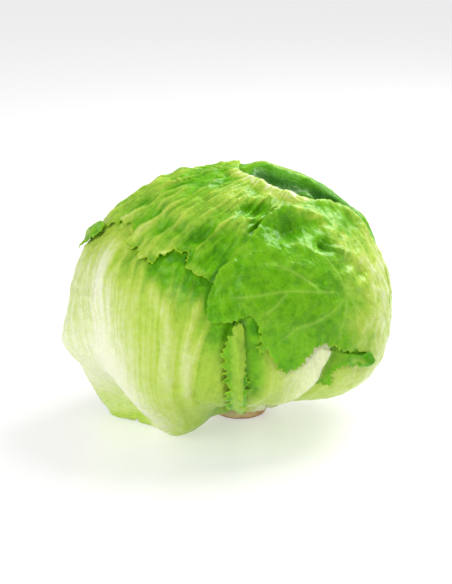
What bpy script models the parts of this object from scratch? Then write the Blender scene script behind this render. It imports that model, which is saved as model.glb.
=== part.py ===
"""A batavia lettuce head, cut at the butt and standing on the cut face.

The head is a stem (butt and core), a tight heart and the leaves around them. Every leaf is a thin
closed shell that wraps the head's centre, so leaves lie over each other in a fixed order, outermost
first. A direction from the head's centre is a longitude (0 is the front, -Y, and 90 is +X) and a
latitude (90 is straight up). All leaves share one net of directions, so that two that lie over each
other are parallel everywhere and keep the gap between them.
"""

import math

import bmesh
import bpy
import numpy as np
from mathutils import Vector

MM = 0.001

HEAD_CENTRE_Z = 67.0 * MM
HALF_WIDTH = 86.5 * MM
HALF_DEPTH = 80.0 * MM
HEIGHT_ABOVE_CENTRE = 78.0 * MM
DEPTH_BELOW_CENTRE = 52.0 * MM
ROUNDNESS_TOP = 2.0
ROUNDNESS_BELOW = 3.0

BUTT_RADIUS = 14.3 * MM
BUTT_ANGLE = math.atan(BUTT_RADIUS / HEAD_CENTRE_Z)
CORE_TOP_Z = 30.0 * MM
CUT_EDGE = 1.0 * MM
LEAF_BASE_ANGLE = math.radians(14.8)
COLLAR_RISE = 13.0 * MM
COLLAR_ANGLE = math.radians(36.0)

LEAF_THICKNESS = 1.4 * MM
OUTER_PITCH = 2.5 * MM
INNER_PITCH = 4.2 * MM
HEART_CLEARANCE = 1.5 * MM

FOOT_BULGE = 25.0 * MM
FOOT_FRONT_LON = (-6.0, -40.0)
FOOT_BACK_LON = (-70.0, -126.0)
FOOT_TOP_LAT = (34.0, -30.0)
FOOT_BASE_LAT = (-76.0, -56.0)

NET_LONGITUDES = np.arange(-180.0, 180.0, 15.0)
NET_LATITUDES = (
    -90.0, -76.0, -66.0, -55.0, -44.0, -32.0, -19.0, -6.0, 8.0, 22.0, 36.0, 50.0, 64.0, 77.0, 90.0,
)
CUTTER_REACH = 0.4
OUTLINE_STEPS = 2

WHITE_RIB = (0.80, 0.87, 0.55)
PALE = (0.42, 0.60, 0.12)
MID_GREEN = (0.20, 0.42, 0.03)
BRIGHT_GREEN = (0.12, 0.35, 0.01)
HEART_YELLOW = (0.72, 0.74, 0.25)
CUT_STEM = (0.66, 0.62, 0.38)


def smooth_step(value, start, end):
    """0 at start, 1 at end, with a smooth rise between."""
    share = min(max((value - start) / (end - start), 0.0), 1.0)
    return share * share * (3.0 - 2.0 * share)


def direction(longitude, latitude):
    """The unit vector of a longitude and a latitude in degrees."""
    lon = math.radians(longitude)
    lat = math.radians(latitude)
    return Vector((math.sin(lon) * math.cos(lat), -math.cos(lon) * math.cos(lat), math.sin(lat)))


def angles_of(unit):
    """The longitude and the latitude of a unit vector, in degrees."""
    longitude = math.degrees(math.atan2(unit.x, -unit.y))
    return longitude, math.degrees(math.asin(min(max(unit.z, -1.0), 1.0)))


def head_radius(unit):
    """The distance from the head's centre to its outside, for the round head without the left foot."""
    latitude = angles_of(unit)[1]
    power = ROUNDNESS_BELOW + (ROUNDNESS_TOP - ROUNDNESS_BELOW) * smooth_step(latitude, -25.0, 25.0)
    flat = math.hypot(unit.x / HALF_WIDTH, unit.y / HALF_DEPTH)
    half_height = HEIGHT_ABOVE_CENTRE if unit.z > 0.0 else DEPTH_BELOW_CENTRE
    radius = (flat**power + abs(unit.z / half_height) ** power) ** (-1.0 / power)
    from_stem = math.acos(min(max(-unit.z, -1.0), 1.0))
    collar = smooth_step(from_stem, COLLAR_ANGLE, LEAF_BASE_ANGLE)
    return radius + COLLAR_RISE * collar


def foot_bulge(unit):
    """How far the left wrapper and what lies over it stand out from the round head."""
    longitude, latitude = angles_of(unit)
    front = smooth_step(longitude, *FOOT_FRONT_LON)
    back = 1.0 - smooth_step(longitude, *FOOT_BACK_LON)
    top = smooth_step(latitude, *FOOT_TOP_LAT)
    base = smooth_step(latitude, *FOOT_BASE_LAT)
    return FOOT_BULGE * front * back * top * base


def above_ground(unit, radius):
    """The radius, shortened where it would reach below the surface that the head stands on."""
    if unit.z >= 0.0:
        return radius
    return min(radius, HEAD_CENTRE_Z / -unit.z)


def blade(middle, top, half_width, base_half_width, lean=0.0):
    """A leaf's middle direction and outline: it rises from the stem at the middle longitude.

    Angles along the midrib are measured from straight down, angles across are measured from the
    midrib, and lean carries the tip sideways. All are in degrees.
    """
    lon = math.radians(middle)
    outward = Vector((math.sin(lon), -math.cos(lon), 0.0))
    sideways = Vector((math.cos(lon), math.sin(lon), 0.0))
    foot = math.degrees(LEAF_BASE_ANGLE)
    widest = 0.62
    steps = 7
    sides = {1: [], -1: []}
    for side, points in sides.items():
        for step in range(steps + 1):
            share = step / steps
            if share < widest:
                opening = math.sin(0.5 * math.pi * share / widest)
                width = base_half_width + (half_width - base_half_width) * opening
            else:
                width = half_width * math.sqrt(max(1.0 - ((share - widest) / (1.0 - widest)) ** 2, 0.02))
            along = math.radians(foot + (top - foot) * share)
            across = math.radians(side * width + lean * share * share)
            radial = -math.cos(along) * Vector((0.0, 0.0, 1.0)) + math.sin(along) * outward
            points.append((math.cos(across) * radial + math.sin(across) * sideways).normalized())
    at_stem = math.sin(LEAF_BASE_ANGLE) * outward - math.cos(LEAF_BASE_ANGLE) * Vector((0.0, 0.0, 1.0))
    half_way = math.radians(0.5 * (foot + top))
    centre = math.sin(half_way) * outward - math.cos(half_way) * Vector((0.0, 0.0, 1.0))
    return centre, sides[1] + sides[-1][::-1] + [at_stem]


def traced(middle, points):
    """A leaf's middle direction and outline, from longitudes and latitudes."""
    return direction(*middle), [direction(*point) for point in points]


RIGHT_WRAPPER = (
    (42, -75), (30, -60), (26, -40), (27, -28), (31, -16), (33, -6), (31, -2), (26, -6),
    (20, -12), (13, -8), (8, -3), (5, 4), (-3, 8), (-11, 8), (-13, 16), (-10, 26),
    (-3, 33), (4, 41), (14, 49), (28, 54), (42, 57), (54, 53), (66, 44), (78, 30),
    (88, 14), (96, -6), (100, -26), (100, -48), (96, -64), (90, -75), (66, -75),
)
FRONT_WRAPPER = (
    (-30, -75), (-17, -60), (-10, -40), (-7, -24), (-7, -10), (-7, 0), (-2, 6), (6, 14),
    (18, 18), (30, 13), (35, 2), (34, -9), (31, -20), (26, -32), (25, -46), (30, -60),
    (38, -75), (4, -75),
)
CROWN_LEAF = (
    (-100, 30), (-80, 33), (-60, 34), (-42, 29), (-30, 32), (-18, 25), (-8, 22), (6, 27),
    (22, 38), (40, 48), (50, 54), (44, 61), (32, 72), (10, 84), (150, 80), (172, 60),
    (180, 30), (-176, 0), (-168, -40), (-156, -75), (-142, -75), (-128, -75), (-118, -50), (-116, -20),
    (-114, 6), (-108, 22),
)
LEFT_WRAPPER = (
    (-46, -75), (-56, -64), (-68, -52), (-76, -38), (-84, -24), (-95, -12), (-106, 4),
    (-106, 20), (-98, 34), (-78, 44), (-52, 46), (-28, 42), (-12, 30), (-6, 14), (-5, 0),
    (-5, -16), (-8, -32), (-14, -46), (-20, -62), (-26, -75), (-36, -75),
)

# Name, middle and outline, depth taken by the leaf, and colour, from the outermost leaf to the innermost.
LEAVES = (
    ("right_wrapper", traced((50, 0), RIGHT_WRAPPER), OUTER_PITCH, BRIGHT_GREEN),
    ("front_wrapper", traced((12, -30), FRONT_WRAPPER), OUTER_PITCH, PALE),
    ("back_right_wrapper", blade(112, 142, 44, 9, lean=6), OUTER_PITCH, PALE),
    ("crown_leaf", traced((-120, 36), CROWN_LEAF), OUTER_PITCH, MID_GREEN),
    ("left_wrapper", traced((-50, -10), LEFT_WRAPPER), OUTER_PITCH, WHITE_RIB),
    ("back_left_wrapper", blade(-132, 150, 46, 9, lean=-6), OUTER_PITCH, PALE),
    ("back_wrapper", blade(172, 128, 40, 9), OUTER_PITCH, PALE),
    ("crown_back_leaf", blade(158, 190, 52, 8, lean=-8), OUTER_PITCH, MID_GREEN),
    ("second_front_leaf", blade(8, 160, 52, 8), OUTER_PITCH, MID_GREEN),
    ("second_left_leaf", blade(-78, 166, 50, 8), OUTER_PITCH, MID_GREEN),
    ("second_back_leaf", blade(-158, 160, 50, 8), OUTER_PITCH, MID_GREEN),
    ("second_right_leaf", blade(84, 166, 50, 8), OUTER_PITCH, MID_GREEN),
    ("inner_leaf_1", blade(38, 172, 56, 7), INNER_PITCH, PALE),
    ("inner_leaf_2", blade(-34, 172, 56, 7), INNER_PITCH, PALE),
    ("inner_leaf_3", blade(128, 172, 56, 7), INNER_PITCH, PALE),
    ("inner_leaf_4", blade(-112, 172, 56, 7), INNER_PITCH, HEART_YELLOW),
    ("inner_leaf_5", blade(186, 172, 56, 7), INNER_PITCH, HEART_YELLOW),
)
OUTSIDE_THE_FOOT = ("right_wrapper", "front_wrapper", "back_right_wrapper", "crown_leaf", "left_wrapper")


def clear_scene():
    """Removes everything from the scene."""
    for obj in list(bpy.data.objects):
        bpy.data.objects.remove(obj)


def leaf_material(name, colour):
    """A plain waxy leaf finish of one colour."""
    material = bpy.data.materials.new(name)
    material.use_nodes = True
    shader = material.node_tree.nodes["Principled BSDF"]
    shader.inputs["Base Color"].default_value = (*colour, 1.0)
    shader.inputs["Roughness"].default_value = 0.38
    shader.inputs["Metallic"].default_value = 0.0
    return material


def add_object(name, mesh, colour):
    """Puts a mesh in the scene with a material of its own."""
    obj = bpy.data.objects.new(name, mesh)
    mesh.materials.append(leaf_material(name, colour))
    bpy.context.scene.collection.objects.link(obj)
    return obj


def net_directions():
    """The directions of the shared net: a row of longitudes at each latitude."""
    return [[direction(lon, lat) for lon in NET_LONGITUDES] for lat in NET_LATITUDES]


def covers(outline, middle, unit):
    """Whether a leaf holds this direction, worked out on a flat map around the leaf's middle."""
    axis = middle.orthogonal().normalized()
    other = middle.cross(axis)

    def on_map(point):
        bearing = Vector((point.dot(axis), point.dot(other)))
        return bearing.normalized() * middle.angle(point)

    x, y = on_map(unit)
    mapped = [on_map(point) for point in outline]
    inside = False
    for here, after in zip(mapped, mapped[1:] + mapped[:1]):
        if (here.y > y) != (after.y > y):
            crossing = here.x + (y - here.y) / (after.y - here.y) * (after.x - here.x)
            inside ^= x < crossing
    return inside


def covered_points(outline, middle):
    """For each point of the net, whether a cell that touches it meets the leaf."""
    units = net_directions()
    held = np.array([[covers(outline, middle, unit) for unit in row] for row in units])
    step = NET_LONGITUDES[1] - NET_LONGITUDES[0]
    covered = held.copy()
    for here, after in zip(outline, outline[1:] + outline[:1]):
        for share in np.arange(0.0, 1.0, 0.1):
            longitude, latitude = angles_of(here.lerp(after, share).normalized())
            row = min(max(int(np.searchsorted(NET_LATITUDES, latitude)) - 1, 0), len(NET_LATITUDES) - 2)
            column = int((longitude - NET_LONGITUDES[0]) // step) % len(NET_LONGITUDES)
            after_column = (column + 1) % len(NET_LONGITUDES)
            covered[row : row + 2, [column, after_column]] = True
    for pole_row in (0, -1):
        covered[pole_row] = covered[pole_row].any()
    return covered


def net_surface(bm, radii):
    """Adds a closed surface with the net's points at these distances from the head's centre."""
    centre = Vector((0.0, 0.0, HEAD_CENTRE_Z))
    count = len(NET_LONGITUDES)
    rows = []
    for units, distances in zip(net_directions(), radii):
        if abs(units[0].z) > 1.0 - 1e-6:
            rows.append([bm.verts.new(centre + units[0] * distances[0])] * count)
        else:
            rows.append([bm.verts.new(centre + unit * radius) for unit, radius in zip(units, distances)])
    faces = []
    for lower, upper in zip(rows, rows[1:]):
        for column in range(count):
            after = (column + 1) % count
            if lower[column] is not lower[after]:
                faces.append(bm.faces.new((lower[column], lower[after], upper[after])))
            if upper[column] is not upper[after]:
                faces.append(bm.faces.new((lower[column], upper[after], upper[column])))
    return faces


def whole_shell(name, radii):
    """A hollow shell right round the head, one leaf thick."""
    bm = bmesh.new()
    net_surface(bm, radii)
    inside = net_surface(bm, radii - LEAF_THICKNESS)
    bmesh.ops.reverse_faces(bm, faces=inside)
    mesh = bpy.data.meshes.new(name)
    bm.to_mesh(mesh)
    bm.free()
    return mesh


def smoothed(outline):
    """The outline with a curve's points added between its own."""
    count = len(outline)
    found = []
    for index in range(count):
        before, start, end, after = (outline[(index + offset) % count] for offset in (-1, 0, 1, 2))
        for step in range(OUTLINE_STEPS):
            share = step / OUTLINE_STEPS
            bend = share * (1.0 - share)
            point = start.lerp(end, share)
            point += 0.5 * bend * ((1.0 - share) * (2.0 * start - before - end))
            point += 0.5 * bend * (share * (2.0 * end - start - after))
            found.append(point.normalized())
    return found


def cone_cutter(outline, middle):
    """A closed cone from the head's centre out through the outline."""
    centre = Vector((0.0, 0.0, HEAD_CENTRE_Z))
    bm = bmesh.new()
    apex = bm.verts.new(centre)
    far = bm.verts.new(centre + middle * CUTTER_REACH)
    ring = [bm.verts.new(centre + unit * CUTTER_REACH) for unit in outline]
    for here, after in zip(ring, ring[1:] + ring[:1]):
        bm.faces.new((apex, here, after))
        bm.faces.new((far, after, here))
    bmesh.ops.recalc_face_normals(bm, faces=bm.faces)
    mesh = bpy.data.meshes.new("cutter")
    bm.to_mesh(mesh)
    bm.free()
    return mesh


def cut_out(name, shell, outline, middle, colour):
    """The part of a whole shell that lies inside the outline, as a finished leaf."""
    whole = bpy.data.objects.new("whole", shell)
    cutter = bpy.data.objects.new("cutter", cone_cutter(outline, middle))
    for obj in (whole, cutter):
        bpy.context.scene.collection.objects.link(obj)
    trim = whole.modifiers.new("trim", "BOOLEAN")
    trim.operation = "INTERSECT"
    trim.solver = "EXACT"
    trim.object = cutter
    bpy.context.view_layer.update()
    graph = bpy.context.evaluated_depsgraph_get()
    mesh = bpy.data.meshes.new_from_object(whole.evaluated_get(graph))
    mesh.name = name
    for obj in (whole, cutter):
        bpy.data.objects.remove(obj)
    mesh.materials.clear()
    return add_object(name, mesh, colour)


def add_leaves():
    """Makes every leaf, and returns the distance from the head's centre that is left inside them."""
    units = net_directions()
    base = np.array([[head_radius(unit) for unit in row] for row in units])
    bulge = np.array([[foot_bulge(unit) for unit in row] for row in units])
    depth = np.zeros(base.shape)
    for name, (middle, outline), pitch, colour in LEAVES:
        outline = smoothed(outline)
        radii = base - depth
        if name in OUTSIDE_THE_FOOT:
            radii = radii + bulge
        for row, directions in enumerate(units):
            radii[row] = [above_ground(unit, radius) for unit, radius in zip(directions, radii[row])]
        leaf = cut_out(name, whole_shell(name, radii), outline, middle, colour)
        leaf.data.shade_smooth()
        leaf.data.set_sharp_from_angle(angle=math.radians(40.0))
        depth += pitch * covered_points(outline, middle)
    return base - depth


def add_heart(radii):
    """The tight youngest leaves in the middle, as one closed ball."""
    bm = bmesh.new()
    lowest = HEAD_CENTRE_Z - CORE_TOP_Z - HEART_CLEARANCE
    distances = radii - HEART_CLEARANCE
    for row, units in enumerate(net_directions()):
        for column, unit in enumerate(units):
            if unit.z < 0.0:
                distances[row, column] = min(distances[row, column], lowest / -unit.z)
    net_surface(bm, distances)
    mesh = bpy.data.meshes.new("heart")
    bm.to_mesh(mesh)
    bm.free()
    return add_object("heart", mesh, HEART_YELLOW)


def add_stem():
    """The butt with its flat cut face, and the core that tapers up between the leaf bases."""
    profile = (
        (0.0, 0.0),
        (BUTT_RADIUS - CUT_EDGE, 0.0),
        (BUTT_RADIUS - 0.3 * CUT_EDGE, 0.3 * CUT_EDGE),
        ((HEAD_CENTRE_Z - CUT_EDGE) * math.tan(BUTT_ANGLE), CUT_EDGE),
        ((HEAD_CENTRE_Z - CORE_TOP_Z) * math.tan(BUTT_ANGLE), CORE_TOP_Z),
        (0.0, CORE_TOP_Z),
    )
    bm = bmesh.new()
    points = [bm.verts.new((across, 0.0, up)) for across, up in profile]
    edges = [bm.edges.new(pair) for pair in zip(points, points[1:])]
    bmesh.ops.spin(
        bm, geom=points + edges, cent=(0.0, 0.0, 0.0), axis=(0.0, 0.0, 1.0), angle=2.0 * math.pi, steps=28
    )
    bmesh.ops.remove_doubles(bm, verts=bm.verts, dist=0.01 * MM)
    bmesh.ops.recalc_face_normals(bm, faces=bm.faces)
    mesh = bpy.data.meshes.new("stem")
    bm.to_mesh(mesh)
    bm.free()
    return add_object("stem", mesh, CUT_STEM)


def main():
    """Builds the head."""
    clear_scene()
    add_heart(add_leaves())
    add_stem()


main()
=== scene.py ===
"""A batavia lettuce head with crinkled, ribbed and frilled leaves, around its fixed frame."""

import math
from itertools import product

import bmesh
import bpy
import numpy as np
from bpy.props import FloatProperty, FloatVectorProperty, IntProperty, PointerProperty
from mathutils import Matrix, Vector
from mathutils.geometry import delaunay_2d_cdt


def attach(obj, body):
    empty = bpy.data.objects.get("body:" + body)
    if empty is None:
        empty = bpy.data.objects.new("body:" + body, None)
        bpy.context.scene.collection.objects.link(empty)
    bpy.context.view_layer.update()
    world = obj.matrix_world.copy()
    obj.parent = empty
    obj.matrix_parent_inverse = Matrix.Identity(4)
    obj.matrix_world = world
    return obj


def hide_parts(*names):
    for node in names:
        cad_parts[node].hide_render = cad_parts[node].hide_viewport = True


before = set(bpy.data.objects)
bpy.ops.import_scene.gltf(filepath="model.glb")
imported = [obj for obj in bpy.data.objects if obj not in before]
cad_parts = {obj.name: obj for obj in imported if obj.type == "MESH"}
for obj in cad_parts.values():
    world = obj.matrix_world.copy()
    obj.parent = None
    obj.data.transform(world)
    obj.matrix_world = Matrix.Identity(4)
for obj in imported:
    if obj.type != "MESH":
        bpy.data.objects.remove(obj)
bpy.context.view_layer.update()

bl_info = {
    "name": "Batavia lettuce head",
    "version": (1, 0, 0),
    "blender": (4, 5, 0),
    "location": "View3D > Sidebar > Lettuce",
    "description": "Builds the leaves, the stem and the stage of a lettuce head",
    "category": "Object",
}

MM = 0.001

# The round head, as the frame has it. Lengths are in millimetres and angles in degrees.
CENTRE_Z = 67.0
HALF_WIDTH = 86.5
HALF_DEPTH = 80.0
ABOVE_CENTRE = 78.0
BELOW_CENTRE = 52.0
ROUNDNESS_TOP = 2.0
ROUNDNESS_BELOW = 3.0
LEAF_BASE_ANGLE = 14.8
COLLAR_RISE = 10.5
COLLAR_ANGLE = 36.0
CORE_TOP_Z = 30.0
HEART_ROOM = 2.5
HEART_DEPTH = 30.0

# Millimetres to a radian on the flat maps that the leaves are planned on.
ARC = 80.0

# How the leaves lie on each other, and how thick they are at their margins and bases.
AIR_GAP = 0.9
INNER_GAP = 2.6
CORNER = 0.4
REACH = 22.0
HIGH_ABOVE = 60.0
GROUND_CLEARANCE = 0.7
EDGE_THICKNESS = 0.3
EDGE_TAPER = 2.5
NEAR_MARGIN = 6.0
FLESHY = 0.8
FLESHY_REACH = 28.0

# Millimetres between the points of a leaf.
VERY_FINE = 0.6
FINE = 0.85
MEDIUM = 1.5
COARSE = 3.0

# The fine net of veins: how far its lines waver, in metres, and how many more cells its finer net has.
NET_WAVER = 0.007
NET_FINER = 2.4

# How far the ribs and streaks sway, in radians, and how often to a metre.
SWAY = 0.14
SWAY_SCALE = 28.0

# The camera stands where the photograph was taken from.
VIEW_ELEVATION = 17.0
VIEW_LENS = 100.0
VIEW_SENSOR = 36.0
VIEW_DISTANCE = 908.4
VIEW_TARGET = (-7.84, -1.31, 71.28)

# The floor and the lights, in metres.
FLOOR_SIZE = 9.0
KEY_PLACE = (0.5, 0.4, 0.85)
KEY_SIZE = 0.7
FILL_PLACE = (-0.8, -0.9, 0.7)
FILL_SIZE = 0.9
LIGHT_TARGET = (0.0, 0.0, 0.07)
WHITE = (1.0, 1.0, 1.0, 1.0)


def smooth_step(value, start, end):
    """0 at start, 1 at end, with a smooth rise between."""
    share = np.clip((value - start) / (end - start), 0.0, 1.0)
    return share * share * (3.0 - 2.0 * share)


def directions(longitude, latitude):
    """Unit vectors from the head's centre. Longitude 0 is the front, 90 is +X."""
    lon = np.radians(longitude)
    lat = np.radians(latitude)
    return np.stack([np.sin(lon) * np.cos(lat), -np.cos(lon) * np.cos(lat), np.sin(lat)], -1)


def lon_lat(units):
    """Longitudes and latitudes of unit vectors."""
    longitude = np.degrees(np.arctan2(units[:, 0], -units[:, 1]))
    return longitude, np.degrees(np.arcsin(np.clip(units[:, 2], -1.0, 1.0)))


def head_radius(units):
    """The distance from the head's centre to the outside of the round head."""
    latitude = lon_lat(units)[1]
    power = ROUNDNESS_BELOW + (ROUNDNESS_TOP - ROUNDNESS_BELOW) * smooth_step(latitude, -25.0, 25.0)
    flat = np.hypot(units[:, 0] / HALF_WIDTH, units[:, 1] / HALF_DEPTH)
    half_height = np.where(units[:, 2] > 0.0, ABOVE_CENTRE, BELOW_CENTRE)
    radius = (flat**power + np.abs(units[:, 2] / half_height) ** power) ** (-1.0 / power)
    return radius + COLLAR_RISE * smooth_step(latitude + 90.0, COLLAR_ANGLE, LEAF_BASE_ANGLE)


def flare_window(units):
    """1 on the left side, where the flare is, and 0 elsewhere."""
    longitude = lon_lat(units)[0]
    return smooth_step(longitude, -1.0, -8.0) * (1.0 - smooth_step(longitude, -140.0, -172.0))


# Longitude, latitude and millimetres that the surface stands out there from the round head.
SWELLING = (
    (-96, 24, 6), (-92, 13, 6.5), (-90, 3, 8), (-88, -5, 10), (-84, -13, 16), (-83, -20, 12),
    (-81, -28, 13.5), (-80, -36, 19), (-91, -38, 25), (-79, -42, 25), (-77, -46, 26), (-66, -50, 23),
    (-62, -42, 8), (-54, -27, 5.5), (-50, -36, 9.5), (-46, -44, 16), (-40, -52, 21.5), (-33, -55, 15.5),
    (-26, -58, 6.5), (-20, -62, -1), (-62, -10, 4.5), (-60, 8, 2.5), (-62, 26, 1), (-40, -8, 1.5),
    (-40, 16, 0.5), (-70, -20, 6.5), (-26, -34, 4), (-24, -14, 0.5), (-15, -50, -2), (-7, -38, -1),
    (-6, -10, 0), (-3, -52, -2), (-6, 14, 0), (-10, 32, 0), (-60, 42, 0), (-100, 42, 3), (-112, 20, 2),
    (-112, 0, 3), (-108, -20, 5), (-112, -42, 6), (-150, 10, 0), (-150, -40, 0), (-70, -70, 1),
    (-30, -72, 2), (0, -74, 0), (-120, -70, 0), (5, -34, -1), (20, -40, -3), (90, -2, -3),
    (96, 30, -2.5), (92, 14, -4), (180, 30, 0), (60, 20, 0), (60, 60, -1), (64, -18, 1.8),
    (71, -23, -1), (62, -34, 1.2), (50, -40, 0.2), (36, -38, -2.5), (88, -20, -2), (30, -22, -1),
    (30, 0, 0), (120, -20, 0), (60, -60, 0), (100, -50, 0), (20, -60, -2), (-120, 60, 1), (0, 70, 0),
    (120, 45, -2.5), (110, 62, -2), (150, 74, -1.2), (180, 76, -1), (70, 80, -0.6), (-96, 44, 3),
    (150, -30, 0),
)


def swelling_weights():
    """How much each of the swelling's points pulls, so that the surface passes through them all."""
    points = np.array(SWELLING, float)
    units = directions(points[:, 0], points[:, 1])
    pull = np.linalg.norm(units[:, None] - units[None], axis=-1) ** 3
    count = len(points)
    system = np.zeros((count + 4, count + 4))
    system[:count, :count] = pull
    system[:count, count] = 1.0
    system[:count, count + 1 :] = units
    system[count:, :count] = system[:count, count:].T
    return units, np.linalg.solve(system, np.append(points[:, 2], np.zeros(4)))


SWELLING_UNITS, SWELLING_PULL = swelling_weights()


def swelling(units):
    """How far the outer leaves stand out from the round head."""
    count = len(SWELLING_UNITS)
    total = SWELLING_PULL[count] + units @ SWELLING_PULL[count + 1 :]
    for unit, pull in zip(SWELLING_UNITS, SWELLING_PULL):
        total += pull * np.linalg.norm(units - unit, axis=1) ** 3
    return total


def map_axes(middle):
    """The middle direction of a flat map, with its east and its north."""
    centre = directions(*middle)
    lon = math.radians(middle[0])
    east = np.array([math.cos(lon), math.sin(lon), 0.0])
    return centre, east, np.cross(centre, east)


def on_map(middle, units):
    """Millimetres east and north of the middle, along the head's surface."""
    centre, east, north = map_axes(middle)
    flat = np.stack([units @ east, units @ north], -1)
    length = np.maximum(np.linalg.norm(flat, axis=-1), 1e-9)
    angle = np.arctan2(length, units @ centre)
    return flat * (ARC * angle / length)[..., None]


def off_map(middle, places):
    """The unit vectors of places on the map."""
    centre, east, north = map_axes(middle)
    length = np.maximum(np.linalg.norm(places, axis=-1), 1e-9)
    angle = length / ARC
    across = places / length[..., None] * np.sin(angle)[..., None]
    return across[..., :1] * east + across[..., 1:] * north + np.cos(angle)[..., None] * centre


def noise(points, seed):
    """Smooth seeded noise between about -1 and 1, one bump to each unit of length."""
    cell = np.floor(points).astype(np.int64)
    inside = points - cell
    eased = inside**3 * (inside * (inside * 6.0 - 15.0) + 10.0)
    total = np.zeros(len(points))
    for corner in product((0, 1), repeat=3):
        place = cell + corner
        mixed = place[:, 0] * 73856093 ^ place[:, 1] * 19349663 ^ place[:, 2] * 83492791 ^ seed * 265443
        mixed = ((mixed ^ (mixed >> 13)) * 1274126177) & 0x7FFFFFFF
        slope = np.stack([(mixed >> shift) & 1023 for shift in (3, 11, 19)], -1) / 511.5 - 1.0
        weight = np.prod(np.where(corner, eased, 1.0 - eased), axis=1)
        total += weight * ((inside - corner) * slope).sum(axis=1)
    return 1.4 * total


def rough(units, size, seed, octaves=1):
    """Noise over the head's surface with bumps of about this size in millimetres."""
    total = np.zeros(len(units))
    for octave in range(octaves):
        total += noise(units * ARC / size * 2**octave, seed + 17 * octave) / 2**octave
    return total


def bump(units, place, across, up, height, turn=0.0):
    """A soft swelling, or with a negative height a dent, at a longitude and latitude."""
    spot = on_map(place, units)
    angle = math.radians(turn)
    x = spot[:, 0] * math.cos(angle) + spot[:, 1] * math.sin(angle)
    y = spot[:, 1] * math.cos(angle) - spot[:, 0] * math.sin(angle)
    return height * np.exp(-((x / across) ** 2 + (y / up) ** 2))


def resampled(points, step, closed=False):
    """Rows of coordinates sampled along a smooth curve through them, whose first two are its place."""
    points = np.asarray(points, float)
    count = len(points)
    before = np.roll(points, 1, axis=0)
    after = np.roll(points, -1, axis=0)
    if not closed:
        before[0] = points[0]
        after[-1] = points[-1]
    near = np.linalg.norm((points - before)[:, :2], axis=1)
    far = np.linalg.norm((after - points)[:, :2], axis=1)
    reach = np.minimum(np.where(near > 0, near, far), np.where(far > 0, far, near))
    chord = np.maximum(np.linalg.norm((after - before)[:, :2], axis=1), 1e-9)
    slope = (after - before) / chord[:, None] * reach[:, None]
    rows = []
    for index in range(count if closed else count - 1):
        end = (index + 1) % count
        steps = max(2, int(round(far[index] / step)))
        share = np.arange(steps)[:, None] / steps
        cube = share**3
        square = share**2
        row = (2 * cube - 3 * square + 1) * points[index] + (cube - 2 * square + share) * slope[index]
        rows.append(row + (3 * square - 2 * cube) * points[end] + (cube - square) * slope[end])
    if not closed:
        rows.append(points[-1:])
    return np.vstack(rows)


def distance_to_line(places, line, closed=False):
    """The distance of each place to a line of points, and the nearest segment and share along it."""
    starts = line if closed else line[:-1]
    ends = np.roll(line, -1, axis=0) if closed else line[1:]
    best = np.full(len(places), 1e9)
    nearest = np.zeros(len(places), int)
    along = np.zeros(len(places))
    for index, (start, end) in enumerate(zip(starts, ends)):
        run = end - start
        share = np.clip((places - start) @ run / max(run @ run, 1e-9), 0.0, 1.0)
        gap = places - start - share[:, None] * run
        length = np.einsum("ij,ij->i", gap, gap)
        closer = length < best
        best[closer] = length[closer]
        nearest[closer] = index
        along[closer] = share[closer]
    return np.sqrt(best), nearest, along


def loop_turn(loop):
    """1 for a loop that runs anticlockwise, -1 for one that runs clockwise."""
    after = np.roll(loop, -1, axis=0)
    return math.copysign(1.0, np.sum(loop[:, 0] * after[:, 1] - loop[:, 1] * after[:, 0]))


def inside_loop(places, loop):
    """Whether a closed loop winds around each place the way that it winds as a whole."""
    turns = np.zeros(len(places))
    for start, end in zip(loop, np.roll(loop, -1, axis=0)):
        if start[1] == end[1]:
            continue
        spans = (start[1] > places[:, 1]) != (end[1] > places[:, 1])
        crossing = start[0] + (places[:, 1] - start[1]) / (end[1] - start[1]) * (end[0] - start[0])
        turns += np.where(spans & (places[:, 0] < crossing), math.copysign(1.0, end[1] - start[1]), 0.0)
    return turns * loop_turn(loop) > 0.5


def ridge(units, places, width, height, sharp=False):
    """A ridge, or with a negative height a groove, along a curve of longitudes and latitudes."""
    points = directions(*np.array(places, float).T)
    middle = points.mean(axis=0)
    middle = middle / np.linalg.norm(middle)
    place = [float(angle[0]) for angle in lon_lat(middle[None])]
    line = resampled(on_map(place, points), 3.0)
    distance, nearest, along = distance_to_line(on_map(place, units), line)
    share = (nearest + along) / (len(line) - 1)
    fade = smooth_step(share, -0.02, 0.15) * (1.0 - smooth_step(share, 0.85, 1.02))
    profile = np.exp(-distance / width) if sharp else np.exp(-((distance / width) ** 2))
    return height * profile * fade


def fan(units, root):
    """Distance from a root on the surface, and bearing around it, for what spreads from there."""
    spot = on_map(root, units)
    return np.linalg.norm(spot, axis=1), np.arctan2(spot[:, 0], spot[:, 1])


def folds(units, root, across, along, seed):
    """Sharp-crested folds that spread from a root: across is their width as a share of a turn."""
    distance, bearing = fan(units, root)
    sway = 0.09 * noise(np.stack([distance / 30.0, bearing * 2.0, np.full(len(units), 3.0)], -1), seed + 5)
    place = np.stack([(bearing + sway) / across, distance / along, np.full(len(units), 0.5)], -1)
    return 1.0 - 2.0 * np.abs(noise(place, seed)) ** 0.8


def no_veins(units):
    """No listed veins."""
    return np.zeros(len(units))


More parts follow.
